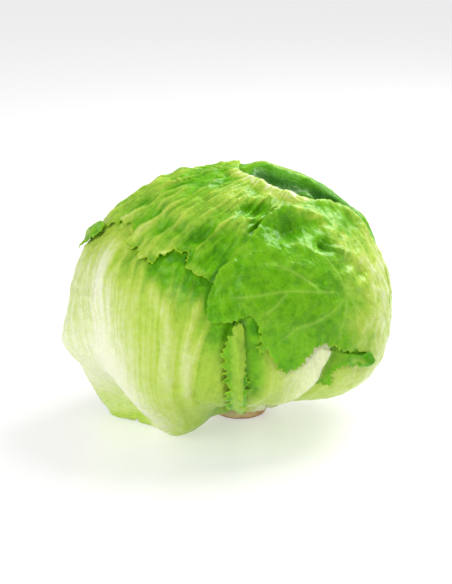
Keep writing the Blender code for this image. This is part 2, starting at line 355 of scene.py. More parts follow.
class Leaf:
    """One sheet of leaf: where it lies on the head, how it is shaped and how it is coloured."""

    def __init__(self, name, node, middle, outline, root, shape, tone, spacing, **options):
        self.name = name
        self.node = node
        self.middle = middle
        self.root = root
        self.shape = shape
        self.tone = tone
        self.spacing = spacing
        self.frill = options.get("frill", 1.0)
        self.thickness = options.get("thickness", 0.75)
        self.ribs = options.get("ribs", 1.0)
        self.net = options.get("net", 1.0)
        self.seed = options.get("seed", 1)
        self.tooth = options.get("tooth", 3.4)
        self.rise = options.get("rise", 0.12)
        self.flared = options.get("flared", False)
        self.ribbed_from = options.get("ribbed_from", (-400.0, -399.0))
        # crest makes the leaf paler for each millimetre that it rises and darker for each that it sinks:
        # painted light on its crests and painted shade in its hollows.
        self.crest = options.get("crest", 0.0)
        outline = np.array(outline, float)
        places = on_map(middle, directions(outline[:, 0], outline[:, 1]))
        self.edge = resampled(np.column_stack([places, outline[:, 2]]), 3.0, closed=True)
        self.stalk = options.get("stalk", root)
        self.veins = options.get("veins", no_veins)
        self.far = (np.linalg.norm(places, axis=1).max() + REACH) / ARC

    def reaches(self, units):
        """Whether each direction is on the leaf or near enough to matter."""
        return units @ directions(*self.middle) > math.cos(min(self.far, math.pi))

    def margin(self):
        """The leaf's outline on its map with its frilly teeth, as one closed loop."""
        step = 0.55 * self.spacing
        edge = resampled(self.edge, step, closed=True)
        gaps = np.linalg.norm(np.diff(edge[:, :2], axis=0, append=edge[:1, :2]), axis=1)
        run = np.cumsum(gaps) - gaps[0]
        along = np.roll(edge[:, :2], -1, axis=0) - np.roll(edge[:, :2], 1, axis=0)
        along /= np.maximum(np.linalg.norm(along, axis=1), 1e-9)[:, None]
        outward = np.stack([along[:, 1], -along[:, 0]], -1)
        outward *= loop_turn(edge)
        flat = np.zeros(len(edge))
        place = np.stack([run / 6.0, flat, flat + self.seed], -1)
        phase = run / self.tooth + 0.9 * noise(place, 11)
        tooth = 1.0 - 2.0 * np.abs((phase % 1.0) ** 1.4 - 0.5)
        size = 0.5 + 0.9 * np.abs(noise(place * 1.7, 23))
        lobe = 1.0 - 2.6 * np.abs(noise(place * 1.1, 31))
        reach = edge[:, 2] * (2.6 * size * tooth - 1.0 + self.frill * (1.7 * lobe - 0.5))
        return edge[:, :2] + outward * reach[:, None]

    def distance_outside(self, units):
        """Millimetres outside the outline, negative inside, and how frilly the margin is there."""
        places = on_map(self.middle, units)
        distance, nearest, _ = distance_to_line(places, self.edge[:, :2], closed=True)
        held = inside_loop(places, self.edge[:, :2])
        return np.where(held, -distance, distance), self.edge[nearest, 2]

    def wish(self, units, outside, frill):
        """The height that the leaf would lie at over the round head with nothing on top of it."""
        within = np.maximum(-outside, 0.0)
        wave = rough(units, 9.0, self.seed + 3) + 0.6 * rough(units, 4.5, self.seed + 4)
        curl = frill * self.frill * np.exp(-within / 4.5) * (0.5 + 1.5 * wave)
        height = self.shape(units) + curl
        if not self.flared:
            height -= np.maximum(swelling(units), 0.0) * flare_window(units)
        return height


def blade(middle, top, half_width, base_half_width, lean):
    """The outline of a leaf that rises from the stem at the middle longitude, as in the frame."""
    frill = 0.8
    widest = 0.62
    steps = 9
    lon = math.radians(middle)
    outward = np.array([math.sin(lon), -math.cos(lon), 0.0])
    sideways = np.array([math.cos(lon), math.sin(lon), 0.0])
    down = np.array([0.0, 0.0, -1.0])
    sides = {1: [], -1: []}
    for side, points in sides.items():
        for step in range(steps + 1):
            share = step / steps
            if share < widest:
                opening = math.sin(0.5 * math.pi * share / widest)
                width = base_half_width + (half_width - base_half_width) * opening
            else:
                width = half_width * math.sqrt(max(1.0 - ((share - widest) / (1.0 - widest)) ** 2, 0.02))
            along = math.radians(LEAF_BASE_ANGLE + (top - LEAF_BASE_ANGLE) * share)
            across = math.radians(side * width + lean * share * share)
            radial = math.cos(along) * down + math.sin(along) * outward
            unit = math.cos(across) * radial + math.sin(across) * sideways
            place = [float(angle[0]) for angle in lon_lat(unit[None])]
            points.append((*place, frill * float(smooth_step(share, 0.25, 0.6))))
    return sides[1] + sides[-1][::-1] + [(middle, LEAF_BASE_ANGLE - 90.0, 0.0)]


# Outlines are longitude, latitude and how frilly the margin is.
RIGHT_WRAPPER = (
    (92, -75, 0), (66, -76, 0), (44, -75, 0), (26, -60, 0), (20, -40, 0), (21, -28, 0), (24, -18, 0),
    (27, -12, 0), (31, -8.6, 0.1), (39, -9.8, 0.1), (47, -11.2, 0.1), (52, -10.4, 0.1), (48, -7.8, 0.6),
    (39, -5, 0.8), (31, -2.2, 0.6), (26, -6, 0.9), (21, -11.5, 0.8), (17, -12, 0.9), (13, -8, 0.9),
    (10, -3, 0.8), (6, -3, 0.9), (7, 2, 0.7), (6, 8, 0.4), (3, 11, 0.3), (-2, 9, 0.5), (-8, 8, 0.4),
    (-12, 8.5, 0.3), (-13, 15, 0.2), (-12, 20, 0.2), (-10.5, 24, 0.3), (-9, 28, 0.2), (-4, 32, 0.2),
    (3, 39, 0.2), (11, 47, 0.2), (18, 51, 0.2), (28, 53, 0.2), (42, 53.5, 0.2), (52, 52.5, 0.2),
    (60, 51, 0.3), (72, 46, 0.3), (78, 38, 0.3), (79, 30, 0.3), (80, 20, 0.3), (86, 8, 0.3),
    (94, -6, 0.3), (98, -22, 0.3), (100, -44, 0.2), (97, -62, 0),
)
RIGHT_FOLD = (
    (27, -25, 0.2), (30, -20, 0.6), (37, -19.5, 0.8), (36, -15, 0.8), (38, -12.6, 0.7),
    (42, -11.5, 0.7), (46, -13.4, 0.8), (51, -13.6, 0.8), (54, -11.6, 0.8), (51, -6.5, 0.1),
    (40, -2, 0), (30, -1, 0), (28, -10, 0), (26, -18, 0),
)
FRONT_FOLD = (
    (0, 8, 0.3), (-3, 6, 0.5), (-5.5, 0, 0.9), (-7, -6, 1), (-6, -14, 1), (-5.5, -23, 1), (-6, -34, 1),
    (-7, -44, 0.9), (-8, -54, 0.8), (-2, -58, 0.8), (1, -48, 0.9), (2, -38, 0.9), (2.5, -26, 0.9),
    (3, -16, 0.8), (1.5, -10, 0.4), (1.5, 1, 0.2),
)
FRONT_WRAPPER = (
    (48, -75, 0), (30, -76, 0), (10, -76, 0), (-8, -75, 0), (-6, -60, 0), (-4, -42, 0), (-3, -28, 0),
    (-3, -14, 0), (-4, -3, 0), (-3, 6, 0.3), (0, 13, 0.3), (8, 18, 0.3), (20, 20, 0.3), (30, 14, 0.3),
    (35, 5, 0), (35.5, -2, 0), (34, -6, 0), (31.5, -11, 0), (29.5, -18, 0), (26, -25, 0), (21, -32, 0),
    (19, -40, 0), (21, -54, 0), (38, -68, 0),
)
CROWN_LEAF = (
    (-102, 20, 0.5), (-92, 23, 0.8), (-85, 27, 0.8), (-80, 30, 0.6), (-77, 34, 0.4), (-70, 36.5, 0.6),
    (-64, 36.5, 1), (-61, 33, 1), (-56, 31, 1), (-51, 30, 1.1), (-46, 28, 1.1), (-41, 28, 1.1),
    (-37, 30.5, 1), (-30, 33, 1), (-26, 33.5, 0.8), (-22.5, 27, 0.6), (-18, 25.5, 0.4), (-14, 24, 0.3),
    (-10, 22, 0), (-2, 26, 0), (6, 34, 0), (16, 43, 0), (28, 47, 0), (40, 48, 0), (52, 48, 0.2),
    (60, 51, 0), (55, 55.5, 0), (46, 60, 0), (37, 65.5, 0), (27, 72.5, 0), (12, 78.5, 0), (-8, 84, 0),
    (180, 83, 0.3), (176, 74, 0.6), (175, 60, 0.8), (180, 30, 0.6), (-176, 0, 0.4), (-168, -40, 0.2),
    (-156, -75, 0), (-142, -76, 0), (-128, -75, 0), (-118, -50, 0.2), (-116, -20, 0.4), (-114, 4, 0.5),
    (-110, 15, 0.5),
)
LEFT_TIP = (
    (-95, 20, 0.4), (-92, 18.5, 0.8), (-89, 20.5, 0.9), (-84, 23.5, 0.8), (-79, 28, 0.5),
    (-78, 32, 0.4), (-84, 31, 0.7), (-90, 29, 0.9), (-95, 27, 0.8), (-98, 24, 0.5),
)
LEFT_WRAPPER = (
    (-20, -75, 0), (-36, -76, 0), (-52, -75, 0), (-57, -66, 0.5), (-63, -55, 1), (-71, -49, 1.3),
    (-81, -44.5, 1.6), (-88, -42, 1.7), (-93, -36, 1.2), (-95, -26, 0.5), (-99, -12, 0.4),
    (-104, 0, 0.4), (-106, 13, 0.4), (-102, 25, 0.6), (-94, 34, 0.7), (-78, 43, 0.4), (-52, 45, 0.3),
    (-28, 41, 0.3), (-12, 30, 0), (-4, 16, 0), (-1, 0, 0), (0, -16, 0), (0, -32, 0), (0, -46, 0),
    (-1, -62, 0), (-6, -75, 0),
)
CROWN_BACK_LEAF = (
    (150, -75, 0), (158, -76, 0), (166, -75, 0), (200, -30, 0.4), (214, 0, 0.7), (218, 30, 0.7),
    (220, 56, 0.6), (240, 74, 0.4), (-20, 78, 0), (10, 68, 0), (30, 60, 0), (44, 50, 0), (56, 38, 0),
    (64, 24, 0), (72, 8, 0.2), (86, -10, 0.5), (110, -20, 0.6), (128, -32, 0.4), (142, -50, 0.2),
)

# Where the thick ribs of the left wrapper run, and the veins of the right wrapper.
MAIN_RIB = (
    (-72, 32), (-66, 23), (-60, 11), (-57, 0), (-56, -10), (-52, -18), (-47, -24), (-43, -31),
    (-38, -50),
)
SECOND_RIB = ((-42, 27), (-37, 19), (-32, 14), (-28, 8), (-27, 0), (-29, -14), (-30, -30), (-28, -60))
THIRD_RIB = ((-14, 20), (-17, 12), (-20, 1), (-22, -14), (-23, -30), (-22, -48))
FOURTH_RIB = ((-10, 18), (-13, 6), (-18, -6), (-21, -20), (-20, -38))
RIGHT_VEINS = (
    ((43, 14), (38, 16), (32, 17), (19, 19), (5, 18), (-6, 17)),
    ((43, 14), (41, 8), (39, 2), (38, -3)),
    ((43, 14), (37, 10), (33, 8), (26, 6), (21, 5), (14, 0)),
    ((43, 14), (47, 16), (51, 14), (57, 11), (62, 4)),
    ((43, 14), (42, 22), (38, 30), (30, 36), (22, 38)),
    ((43, 14), (48, 22), (55, 30), (60, 38)),
    ((32, 17), (26, 23), (18, 28), (8, 31)),
    ((19, 19), (12, 13), (8, 11)),
    ((43, 14), (50, 4), (56, -8), (62, -24), (66, -44), (68, -66)),
)


def right_wrapper_veins(units):
    """The pale veins that meet at one point of the right wrapper."""
    return sum(ridge(units, line, 0.55, 1.0, sharp=True) for line in RIGHT_VEINS)


# Dents of the right wrapper: place, millimetres across and up, height and turn.
RIGHT_DENTS = (
    ((28, 44), 12.0, 6.5, -6.5, 8.0),
    ((42, 34), 4.5, 3.5, -4.5, -30.0),
    ((50, 25), 4.0, 3.5, -2.6, 0.0),
    ((54, 20), 4.0, 4.5, -2.8, 0.0),
    ((51, 12), 5.0, 5.0, -2.4, 0.0),
    ((-1, 33), 3.0, 2.0, -1.6, 0.0),
)
# Its ridges: the curve, and the width and height in millimetres.
RIGHT_RIDGES = (
    (((15, 46), (17, 50), (24, 53), (34, 52), (44, 48), (52, 42)), 3.5, 2.6),
    (((40, 37), (44, 33), (50, 29)), 1.2, 2.0),
    (((44, 56), (56, 53), (66, 48), (74, 40), (76, 28)), 3.5, 2.4),
    (((-12, 26), (-5, 30), (3, 39), (12, 47)), 2.5, 1.3),
)


def right_wrapper_shape(units):
    """Smooth and swelling, with the dents and the crest that the photograph shows."""
    height = 0.9 * rough(units, 26.0, 41) + 0.4 * rough(units, 9.0, 42)
    for dent in RIGHT_DENTS:
        height += bump(units, *dent)
    for line in RIGHT_RIDGES:
        height += ridge(units, *line)
    longitude, latitude = lon_lat(units)
    right = smooth_step(longitude, 56.0, 76.0)
    height += right * 0.9 * folds(units, (72, -84), 0.05, 80.0, 43)
    crest = smooth_step(latitude, 26.0, 40.0)
    height += crest * (0.45 * rough(units, 4.5, 44) + 0.9 * folds(units, (30, 90), 0.16, 20.0, 45) - 0.6)
    return height


def plain_shape(seed):
    """A leaf that follows the head with soft unevenness."""
    size = 24.0
    return lambda units: 0.9 * rough(units, size, seed) + 0.35 * rough(units, 0.4 * size, seed + 1)


def right_fold_shape(units):
    """A curled lobe that stands off the leaf below it."""
    return 0.4 + 0.8 * rough(units, 6.0, 51) + bump(units, (52, -12), 4.0, 3.0, 3.5)


def front_fold_shape(units):
    """A rolled margin that stands proud along its middle."""
    arch = ridge(units, ((-1, 9), (-1, 2), (-1, -6), (-1, -14), (0, -26), (0, -42), (-3, -60)), 3.4, 2.6)
    return arch + 0.5 * rough(units, 8.0, 61)


def front_wrapper_shape(units):
    """A smooth fleshy leaf with a raised right edge and a hollow beside it."""
    lip = ((33, 3), (34, -5), (30.5, -12), (28.5, -18), (25, -25), (20, -33), (18.5, -42))
    height = 0.5 * rough(units, 30.0, 71) + ridge(units, lip, 3.2, 2.2) - 0.6
    return height + ridge(units, ((24, -14), (20, -22), (14, -31), (8, -38)), 5.0, -2.0)


# The folds of the crown leaf stream from here, behind the right shoulder.
STREAM = (96, 62)
# The crest from the top of the head to its right shoulder, and its line on down the right wrapper; each
# carries a painted highlight.
CREST = ((-40, 84), (-12, 82), (9, 77), (24, 71), (34, 64), (43, 58.5), (52, 53.5), (62, 49.5))
PAINTED_HIGHLIGHT_BAND = ((30, 53), (40, 50), (47, 44), (52, 36), (55, 28), (57, 18))
# Dents of the crown leaf, as in the list for the right wrapper.
CROWN_DENTS = (
    ((-44, 43), 7.0, 3.0, -3.5, 50.0),
    ((-59, 44), 6.0, 3.0, -3.0, 60.0),
    ((-21, 41), 8.0, 3.5, -4.5, 50.0),
    ((9, 55), 9.0, 4.5, -5.0, 25.0),
)


def crown_leaf_shape(units):
    """Long folds that stream from the upper right over the crown."""
    latitude = lon_lat(units)[1]
    front = smooth_step(latitude, 4.0, 24.0)
    height = front * (2.1 * folds(units, STREAM, 0.13, 42.0, 81) - 1.0)
    height += front * (1.4 * folds(units, STREAM, 0.055, 24.0, 82) - 0.7)
    height += front * (0.5 * folds(units, STREAM, 0.024, 12.0, 87) - 0.2)
    height *= 1.0 - ridge(units, CREST, 10.0, 1.0)
    height += 1.4 * rough(units, 20.0, 83) + 1.5 * rough(units, 9.0, 84) * front
    for dent in CROWN_DENTS:
        height += bump(units, *dent)
    height += ridge(units, ((2, 49), (8, 50), (14, 49)), 1.2, 1.6)
    height += bump(units, (-25, 33), 6.0, 4.0, -3.0)
    height += ridge(units, CREST, 4.0, 2.4) + bump(units, (150, 85), 8.0, 8.0, 2.5)
    return height - 1.0 - 2.0 * smooth_step(latitude, 50.0, 75.0)


# The hollow behind the crest, the rim beyond it and the spur between them: the hollow carries painted
# shade, the rim a painted highlight.
HOLLOW = ((20, 82), (35, 80), (46, 74), (52, 68), (58, 62), (66, 56), (78, 50), (82, 43), (84, 34))
FAR_RIM = (
    (170, 84), (110, 84), (84, 77), (79, 68), (77, 62), (80, 56), (86, 49), (88, 42), (91, 35),
    (88, 27),
)
SPUR = (64, 58)


def crown_back_shape(units):
    """Hollow behind the crest of the leaves before it, which a painted highlight makes bright."""
    height = 1.0 * rough(units, 20.0, 85) + 0.5 * rough(units, 8.0, 86)
    height += bump(units, SPUR, 3.0, 6.0, 4.0, turn=30.0)
    return height + ridge(units, HOLLOW, 6.5, -6.0) + ridge(units, FAR_RIM, 3.5, 2.0)


# The ribs and streaks of the left wrapper spread from here.
LEFT_STALK = (-28, -80)


def left_wrapper_shape(units):
    """Flared out to a foot, with broad soft ribs."""
    height = 0.6 * rough(units, 28.0, 91)
    height += ridge(units, MAIN_RIB, 8.0, 2.2) + ridge(units, SECOND_RIB, 6.0, 2.4)
    height += ridge(units, THIRD_RIB, 2.5, 1.2) + ridge(units, FOURTH_RIB, 2.0, 0.9)
    ribbed = smooth_step(lon_lat(units)[1], -50.0, 10.0)
    height += ribbed * 0.7 * folds(units, LEFT_STALK, 0.1, 70.0, 92)
    return height - 0.8


def left_tip_shape(units):
    """A tight dark ruffle that sticks out."""
    return 1.0 + 1.4 * rough(units, 5.0, 95) + ridge(units, ((-98, 24), (-90, 25), (-82, 28)), 3.0, 1.5)


# Below this line of longitudes and latitudes the right wrapper runs on under the front wrapper.
SLIT_LON = (10, 17, 21, 24, 27, 31, 39, 48, 56, 70)
SLIT_LAT = (-17, -15.5, -14.2, -12.5, -8.2, -4.4, -7.2, -9.6, -10.7, -10.7)
CLOSED_LON = (48.0, 60.0)


def below_slit(units):
    """1 below the slit in the right wrapper, 0 above it."""
    longitude, latitude = lon_lat(units)
    width = 0.7 + 4.0 * smooth_step(longitude, *CLOSED_LON)
    above = latitude - np.interp(longitude, SLIT_LON, SLIT_LAT)
    return smooth_step(above / width, 1.0, -1.0)


def right_wrapper_tone(units, inner):
    """Bright green at the front, paler to the right and down to the base, with random pale patches and a
    painted highlight down the right shoulder.
    """
    longitude, latitude = lon_lat(units)
    right = smooth_step(longitude, 34.0, 64.0) * smooth_step(latitude, 44.0, 16.0)
    far_right = smooth_step(longitude, 58.0, 78.0)
    # A painted highlight down the right shoulder, made patchy with noise.
    painted_highlight = ridge(units, PAINTED_HIGHLIGHT_BAND, 7.0, 0.2)
    patches_and_highlight = (0.3 + right) * 0.2 * rough(units, 9.0, 47, 3) + painted_highlight * (0.6 + rough(units, 4.0, 48, 2))
    upper = 0.05 + 0.42 * right + 0.06 * far_right + patches_and_highlight
    lower = 0.4 + 0.12 * smooth_step(longitude, 38.0, 60.0)
    return upper + (lower - upper) * below_slit(units)


def front_wrapper_tone(units, inner):
    """Green beside the strip, nearly white at the right edge, darker yellow in the hollow, with a spot of
    painted shade in a small gap near its top.
    """
    longitude, latitude = lon_lat(units)
    green = smooth_step(latitude, -34.0, -16.0) * smooth_step(longitude, 14.0, 5.0)
    top = smooth_step(latitude, -2.0, 8.0)
    right = smooth_step(longitude, 12.0, 30.0)
    # Painted shade in a small gap near the top of the leaf.
    gap_shade = bump(units, (5, 6), 2.0, 2.5, 0.9)
    return np.clip(0.44 - 0.36 * np.maximum(green, top) + 0.3 * right - gap_shade, -0.3, 1.0)


# Painted shade in the gaps under the crown leaf's margin: place, and millimetres across and up.
PAINTED_GAP_SHADE = (
    ((-13.2, 16), 0.9, 4.5), ((-31, 30.5), 3.0, 1.8), ((-25, 31), 1.6, 2.6), ((-60, 33), 3.0, 1.6),
)


def left_wrapper_tone(units, inner):
    """White at the left and along the ribs, greener to the right and at the top, with painted shade in the
    gaps under the crown leaf's margin.
    """
    longitude, latitude = lon_lat(units)
    rightward = smooth_step(longitude, -72.0, -8.0)
    upward = smooth_step(latitude, -12.0, 26.0) * smooth_step(longitude, -82.0, -36.0)
    tone = 0.6 - 0.3 * rightward - 0.12 * upward - 0.26 * smooth_step(latitude, 12.0, 27.0)
    low = 0.14 - 0.15 * smooth_step(longitude, -54.0, -30.0)
    tone += low * smooth_step(latitude, 4.0, -12.0) - 0.1 * smooth_step(latitude, -40.0, -60.0)
    tone -= 0.2 * smooth_step(longitude, -22.0, -10.0) * smooth_step(latitude, -10.0, 6.0)
    side_ribs = ridge(units, SECOND_RIB, 4.0, 0.22) + ridge(units, THIRD_RIB, 3.0, 0.24)
    side_ribs += ridge(units, FOURTH_RIB, 2.2, 0.2)
    tone += ridge(units, MAIN_RIB, 9.0, 0.22) + side_ribs * (0.2 + 0.8 * smooth_step(latitude, -34.0, -4.0))
    drips = smooth_step(latitude, 2.0, 26.0) * smooth_step(longitude, -74.0, -60.0)
    tone += drips * 0.2 * (folds(units, LEFT_STALK, 0.07, 60.0, 93) - 0.2)
    # Painted shade in the gaps under the crown leaf's margin.
    for place, across, up in PAINTED_GAP_SHADE:
        tone -= bump(units, place, across, up, 1.2)
    flap = smooth_step(longitude, -58.0, -66.0) * smooth_step(latitude, -24.0, -36.0)
    return np.clip(tone - 0.2 * flap - 0.16 * flap * smooth_step(inner, 9.0, 3.0), -0.3, 1.0)


def crown_leaf_tone(units, inner):
    """Mid green, a little paler at the left and much paler at the hidden base, with painted shade along a
    short join with the right wrapper and a painted highlight along the crest.
    """
    longitude, latitude = lon_lat(units)
    left = smooth_step(longitude, 10.0, -60.0)
    base = smooth_step(latitude, 10.0, -60.0)
    top = smooth_step(longitude, -40.0, 0.0) * smooth_step(latitude, 45.0, 60.0)
    # Painted shade along the narrow gap where the right wrapper's margin meets this leaf.
    seam_shade = ridge(units, ((-14, 20), (-11, 26), (-6, 33)), 1.4, 0.5)
    # A painted highlight along the crest, made patchy with noise.
    crest = ridge(units, CREST, 6.0, 0.36) * (0.6 + rough(units, 4.0, 88, 2))
    return 0.17 + 0.14 * left + 0.16 * top + 0.5 * base - seam_shade + crest


def crown_back_tone(units, inner):
    """Painted shade deep green in the hollow, a painted highlight along the rim beyond it, paler on the
    spur and at the base.
    """
    base = smooth_step(lon_lat(units)[1], 10.0, -60.0)
    spur = bump(units, SPUR, 3.5, 6.0, 0.8, turn=30.0)
    # Painted shade deep in the hollow and a painted highlight along the far rim; the spur is paler, lifting
    # the painted shade there.
    return 0.1 + 0.5 * base + ridge(units, HOLLOW, 9.0, -1.15) + ridge(units, FAR_RIM, 2.0, 0.3) + spur


def front_fold_tone(units, inner):
    """Painted shade darkens the left half of the roll and a patchy line past its right edge; painted light
    brightens its right half.
    """
    longitude = lon_lat(units)[0]
    # Painted shade along a patchy line past the roll's right edge, and painted light on the roll's right
    # half.
    broken_shade_line = smooth_step(rough(units, 8.0, 62), -0.25, 0.2)
    bright = smooth_step(longitude, -5.0, -2.0)
    return 0.09 + 0.17 * bright - 0.35 * broken_shade_line * smooth_step(longitude, 0.6, 1.4)


def right_fold_tone(units, inner):
    """Yellow green beside the front wrapper, pale in the middle, with painted shade, dark green, at its
    curled tip.
    """
    paler = 0.12 * smooth_step(lon_lat(units)[0], 46.0, 38.0) + bump(units, (46, -12), 5.0, 2.4, 0.5)
    # The dark green at the curled tip is painted shade.
    return 0.02 + paler * smooth_step(inner, 0.8, 3.0) + bump(units, (53, -11), 3.0, 2.5, -0.5)


def even_tone(share):
    """One paleness all over, save for greener margins and a pale base."""

    def tone(units, inner):
        latitude = lon_lat(units)[1]
        base = smooth_step(latitude, 0.0, -60.0)
        top = smooth_step(latitude, 0.0, 40.0)
        greener = 0.15 * smooth_step(inner, 8.0, 1.0)
        return np.clip(share * (1.0 - 0.6 * top) + (0.85 - share) * base - greener, 0.0, 1.0)

    return tone


def round_leaf(name, middle, top, half_width, base_half_width, lean, tone, spacing, seed, **options):
    """A leaf of the far side or of the inside, with a plain outline."""
    outline = blade(middle, top, half_width, base_half_width, lean)
    root = (middle, -85.0)
    place = (middle, 0.5 * (LEAF_BASE_ANGLE + top) - 90.0)
    shape = plain_shape(seed)
    return Leaf(name, name, place, outline, root, shape, even_tone(tone), spacing, seed=seed, **options)


# The middle longitude and the paleness of each inner leaf.
INNER_LEAVES = ((38, 0.5), (-34, 0.5), (128, 0.5), (-112, 0.6), (186, 0.6))

# From the outermost sheet to the innermost. The second name is the node that the sheet belongs to.
LEAVES = (
    Leaf("right_wrapper", "right_wrapper", (45, 0), RIGHT_WRAPPER, (72, -84), right_wrapper_shape,
         right_wrapper_tone, FINE, ribs=0.7, net=0.6, seed=101, flared=True, veins=right_wrapper_veins,
         ribbed_from=(54.0, 74.0), crest=0.045),
    Leaf("front_fold", "front_wrapper", (-3, -26), FRONT_FOLD, (0, -88), front_fold_shape,
         front_fold_tone, VERY_FINE, frill=1.3, ribs=0.3, net=0.3, seed=102, flared=True, tooth=3.8),
    Leaf("front_wrapper", "front_wrapper", (12, -30), FRONT_WRAPPER, (6, -88), front_wrapper_shape,
         front_wrapper_tone, FINE, ribs=0.12, net=0.1, thickness=1.2, seed=103, flared=True),
    Leaf("right_fold", "right_wrapper", (38, -12), RIGHT_FOLD, (36, -60), right_fold_shape,
         right_fold_tone, VERY_FINE, ribs=0.4, net=0.4, seed=104, flared=True, tooth=2.6),
    round_leaf("back_right_wrapper", 118, 122, 40, 9, 4, 0.3, MEDIUM, 105, flared=True),
    Leaf("left_tip", "left_wrapper", (-91, 25), LEFT_TIP, (-93, -20), left_tip_shape,
         even_tone(0.32), VERY_FINE, ribs=0.4, net=0.4, seed=106, flared=True, tooth=3.0, crest=0.05),
    Leaf("crown_leaf", "crown_leaf", (-60, 62), CROWN_LEAF, STREAM, crown_leaf_shape,
         crown_leaf_tone, 0.9, frill=1.9, ribs=0.8, net=0.3, seed=107, flared=True, stalk=(-142, -84),
         tooth=4.0, crest=0.08),
    Leaf("left_wrapper", "left_wrapper", (-50, -10), LEFT_WRAPPER, (-38, -60), left_wrapper_shape,
         left_wrapper_tone, FINE, ribs=0.4, net=0.3, seed=108, flared=True, stalk=LEFT_STALK),
    round_leaf("back_left_wrapper", -132, 150, 46, 9, -6, 0.35, MEDIUM, 109),
    round_leaf("back_wrapper", 172, 128, 40, 9, 0, 0.4, MEDIUM, 110),
    Leaf("crown_back_leaf", "crown_back_leaf", (130, 50), CROWN_BACK_LEAF, (158, -85), crown_back_shape,
         crown_back_tone, 1.2, ribs=0.6, net=0.3, seed=111, rise=0.04),
    round_leaf("second_front_leaf", 8, 160, 52, 8, 0, 0.2, COARSE, 112),
    round_leaf("second_left_leaf", -78, 166, 50, 8, 0, 0.2, COARSE, 113),
    round_leaf("second_back_leaf", -158, 160, 50, 8, 0, 0.2, COARSE, 114),
    round_leaf("second_right_leaf", 84, 166, 50, 8, 0, 0.1, 2.2, 115),
    *(
        round_leaf(f"inner_leaf_{number}", middle, 172, 56, 7, 0, tone, COARSE, 115 + number)
        for number, (middle, tone) in enumerate(INNER_LEAVES, 1)
    ),
)
BY_NAME = {leaf.name: leaf for leaf in LEAVES}
# These lie under the right wrapper above the slit, and over it below the slit.
FRONT_LEAVES = ("front_wrapper", "right_fold")


def ceiling_under(leaf, height, outside):
    """The height that the next leaf has to stay under: it rises again away from the margin."""
    gap = INNER_GAP if leaf.name.startswith("inner") else AIR_GAP
    beyond = np.maximum(outside, 0.0)
    return height - leaf.thickness - gap + leaf.rise * beyond + 0.03 * beyond**2


def lower_of(first, second):
    """The lower of two heights with the corner between them rounded."""
    least = np.minimum(first, second)
    return least - CORNER * np.log1p(np.exp(-np.abs(first - second) / CORNER))


class Lie:
    """How a leaf lies at some points: its height, its room to what lies over it, and its margin."""

    def __init__(self, count):
        self.height = np.full(count, HIGH_ABOVE)
        self.room = np.full(count, HIGH_ABOVE)
        self.outside = np.full(count, HIGH_ABOVE)
        self.frill = np.zeros(count)


def ceiling_at(leaf, units, near, laid):
    """The height that a leaf has to stay under at some of the points, below what lies over it."""
    ceiling = np.full(len(near), HIGH_ABOVE)
    there = units[near]
    below = below_slit(there)
    for upper, upper_lie in laid:
        limit = ceiling_under(upper, upper_lie.height[near], upper_lie.outside[near])
        if upper.name == "right_wrapper" and leaf.name in FRONT_LEAVES:
            limit = limit + HIGH_ABOVE * below
        ceiling = np.minimum(ceiling, limit)
    if leaf.name == "right_wrapper":
        for name in FRONT_LEAVES:
            over = BY_NAME[name]
            outside, frill = over.distance_outside(there)
            limit = ceiling_under(over, over.wish(there, outside, frill), outside)
            ceiling = np.minimum(ceiling, limit + HIGH_ABOVE * (1.0 - below))
    return ceiling


def lie(units, target):
    """How the target leaf lies over the round head, under all that lie over it."""
    laid = []
    for leaf in LEAVES:
        near = np.flatnonzero(leaf.reaches(units))
        found = Lie(len(units))
        if len(near):
            outside, frill = leaf.distance_outside(units[near])
            wish = leaf.wish(units[near], outside, frill)
            ceiling = ceiling_at(leaf, units, near, laid)
            found.height[near] = lower_of(wish, ceiling)
            found.room[near] = ceiling - wish
            found.outside[near] = outside
            found.frill[near] = frill
        if leaf is target:
            return found
        laid.append((leaf, found))
    raise RuntimeError(f"{target.name} is not in the list of leaves")


def sheet_plan(leaf):
    """The points of a leaf on its map and the triangles between them."""
    loop = leaf.margin()
    low = loop.min(axis=0)
    high = loop.max(axis=0)
    rows = np.arange(low[1], high[1], leaf.spacing * math.sqrt(0.75))
    columns = np.arange(low[0], high[0], leaf.spacing)
    shifts = np.where(np.arange(len(rows)) % 2, 0.5 * leaf.spacing, 0.0)
    grid = np.stack([columns[None, :] + shifts[:, None], np.repeat(rows[:, None], len(columns), 1)], -1)
    grid = grid.reshape(-1, 2)
    grid = grid[inside_loop(grid, loop)]
    distance, _, _ = distance_to_line(grid, loop[::2], closed=True)
    grid = grid[distance > 0.6 * leaf.spacing]
    points = [Vector(map(float, place)) for place in np.vstack([loop, grid])]
    edges = [(index, (index + 1) % len(loop)) for index in range(len(loop))]
    places, _, triangles, _, _, _ = delaunay_2d_cdt(points, edges, [], 1, 1e-4, False)
    places = np.array([tuple(place) for place in places])
    triangles = np.array(triangles, int)
    triangles = triangles[inside_loop(places[triangles].mean(axis=1), loop)]
    used, triangles = np.unique(triangles, return_inverse=True)
    return places[used], triangles.reshape(-1, 3), loop


def corner_normals(points, triangles):
    """Smooth outward normals at the points of a mesh."""
    first, second, third = (points[triangles[:, corner]] for corner in range(3))
    face = np.cross(second - first, third - first)
    total = np.zeros_like(points)
    for corner in range(3):
        np.add.at(total, triangles[:, corner], face)
    return total / np.maximum(np.linalg.norm(total, axis=1), 1e-12)[:, None]


def open_edges(triangles):
    """The directed edges that only one triangle has."""
    edges = np.concatenate([triangles[:, [0, 1]], triangles[:, [1, 2]], triangles[:, [2, 0]]])
    keys = {tuple(edge) for edge in edges.tolist()}
    return np.array([edge for edge in keys if (edge[1], edge[0]) not in keys], int)


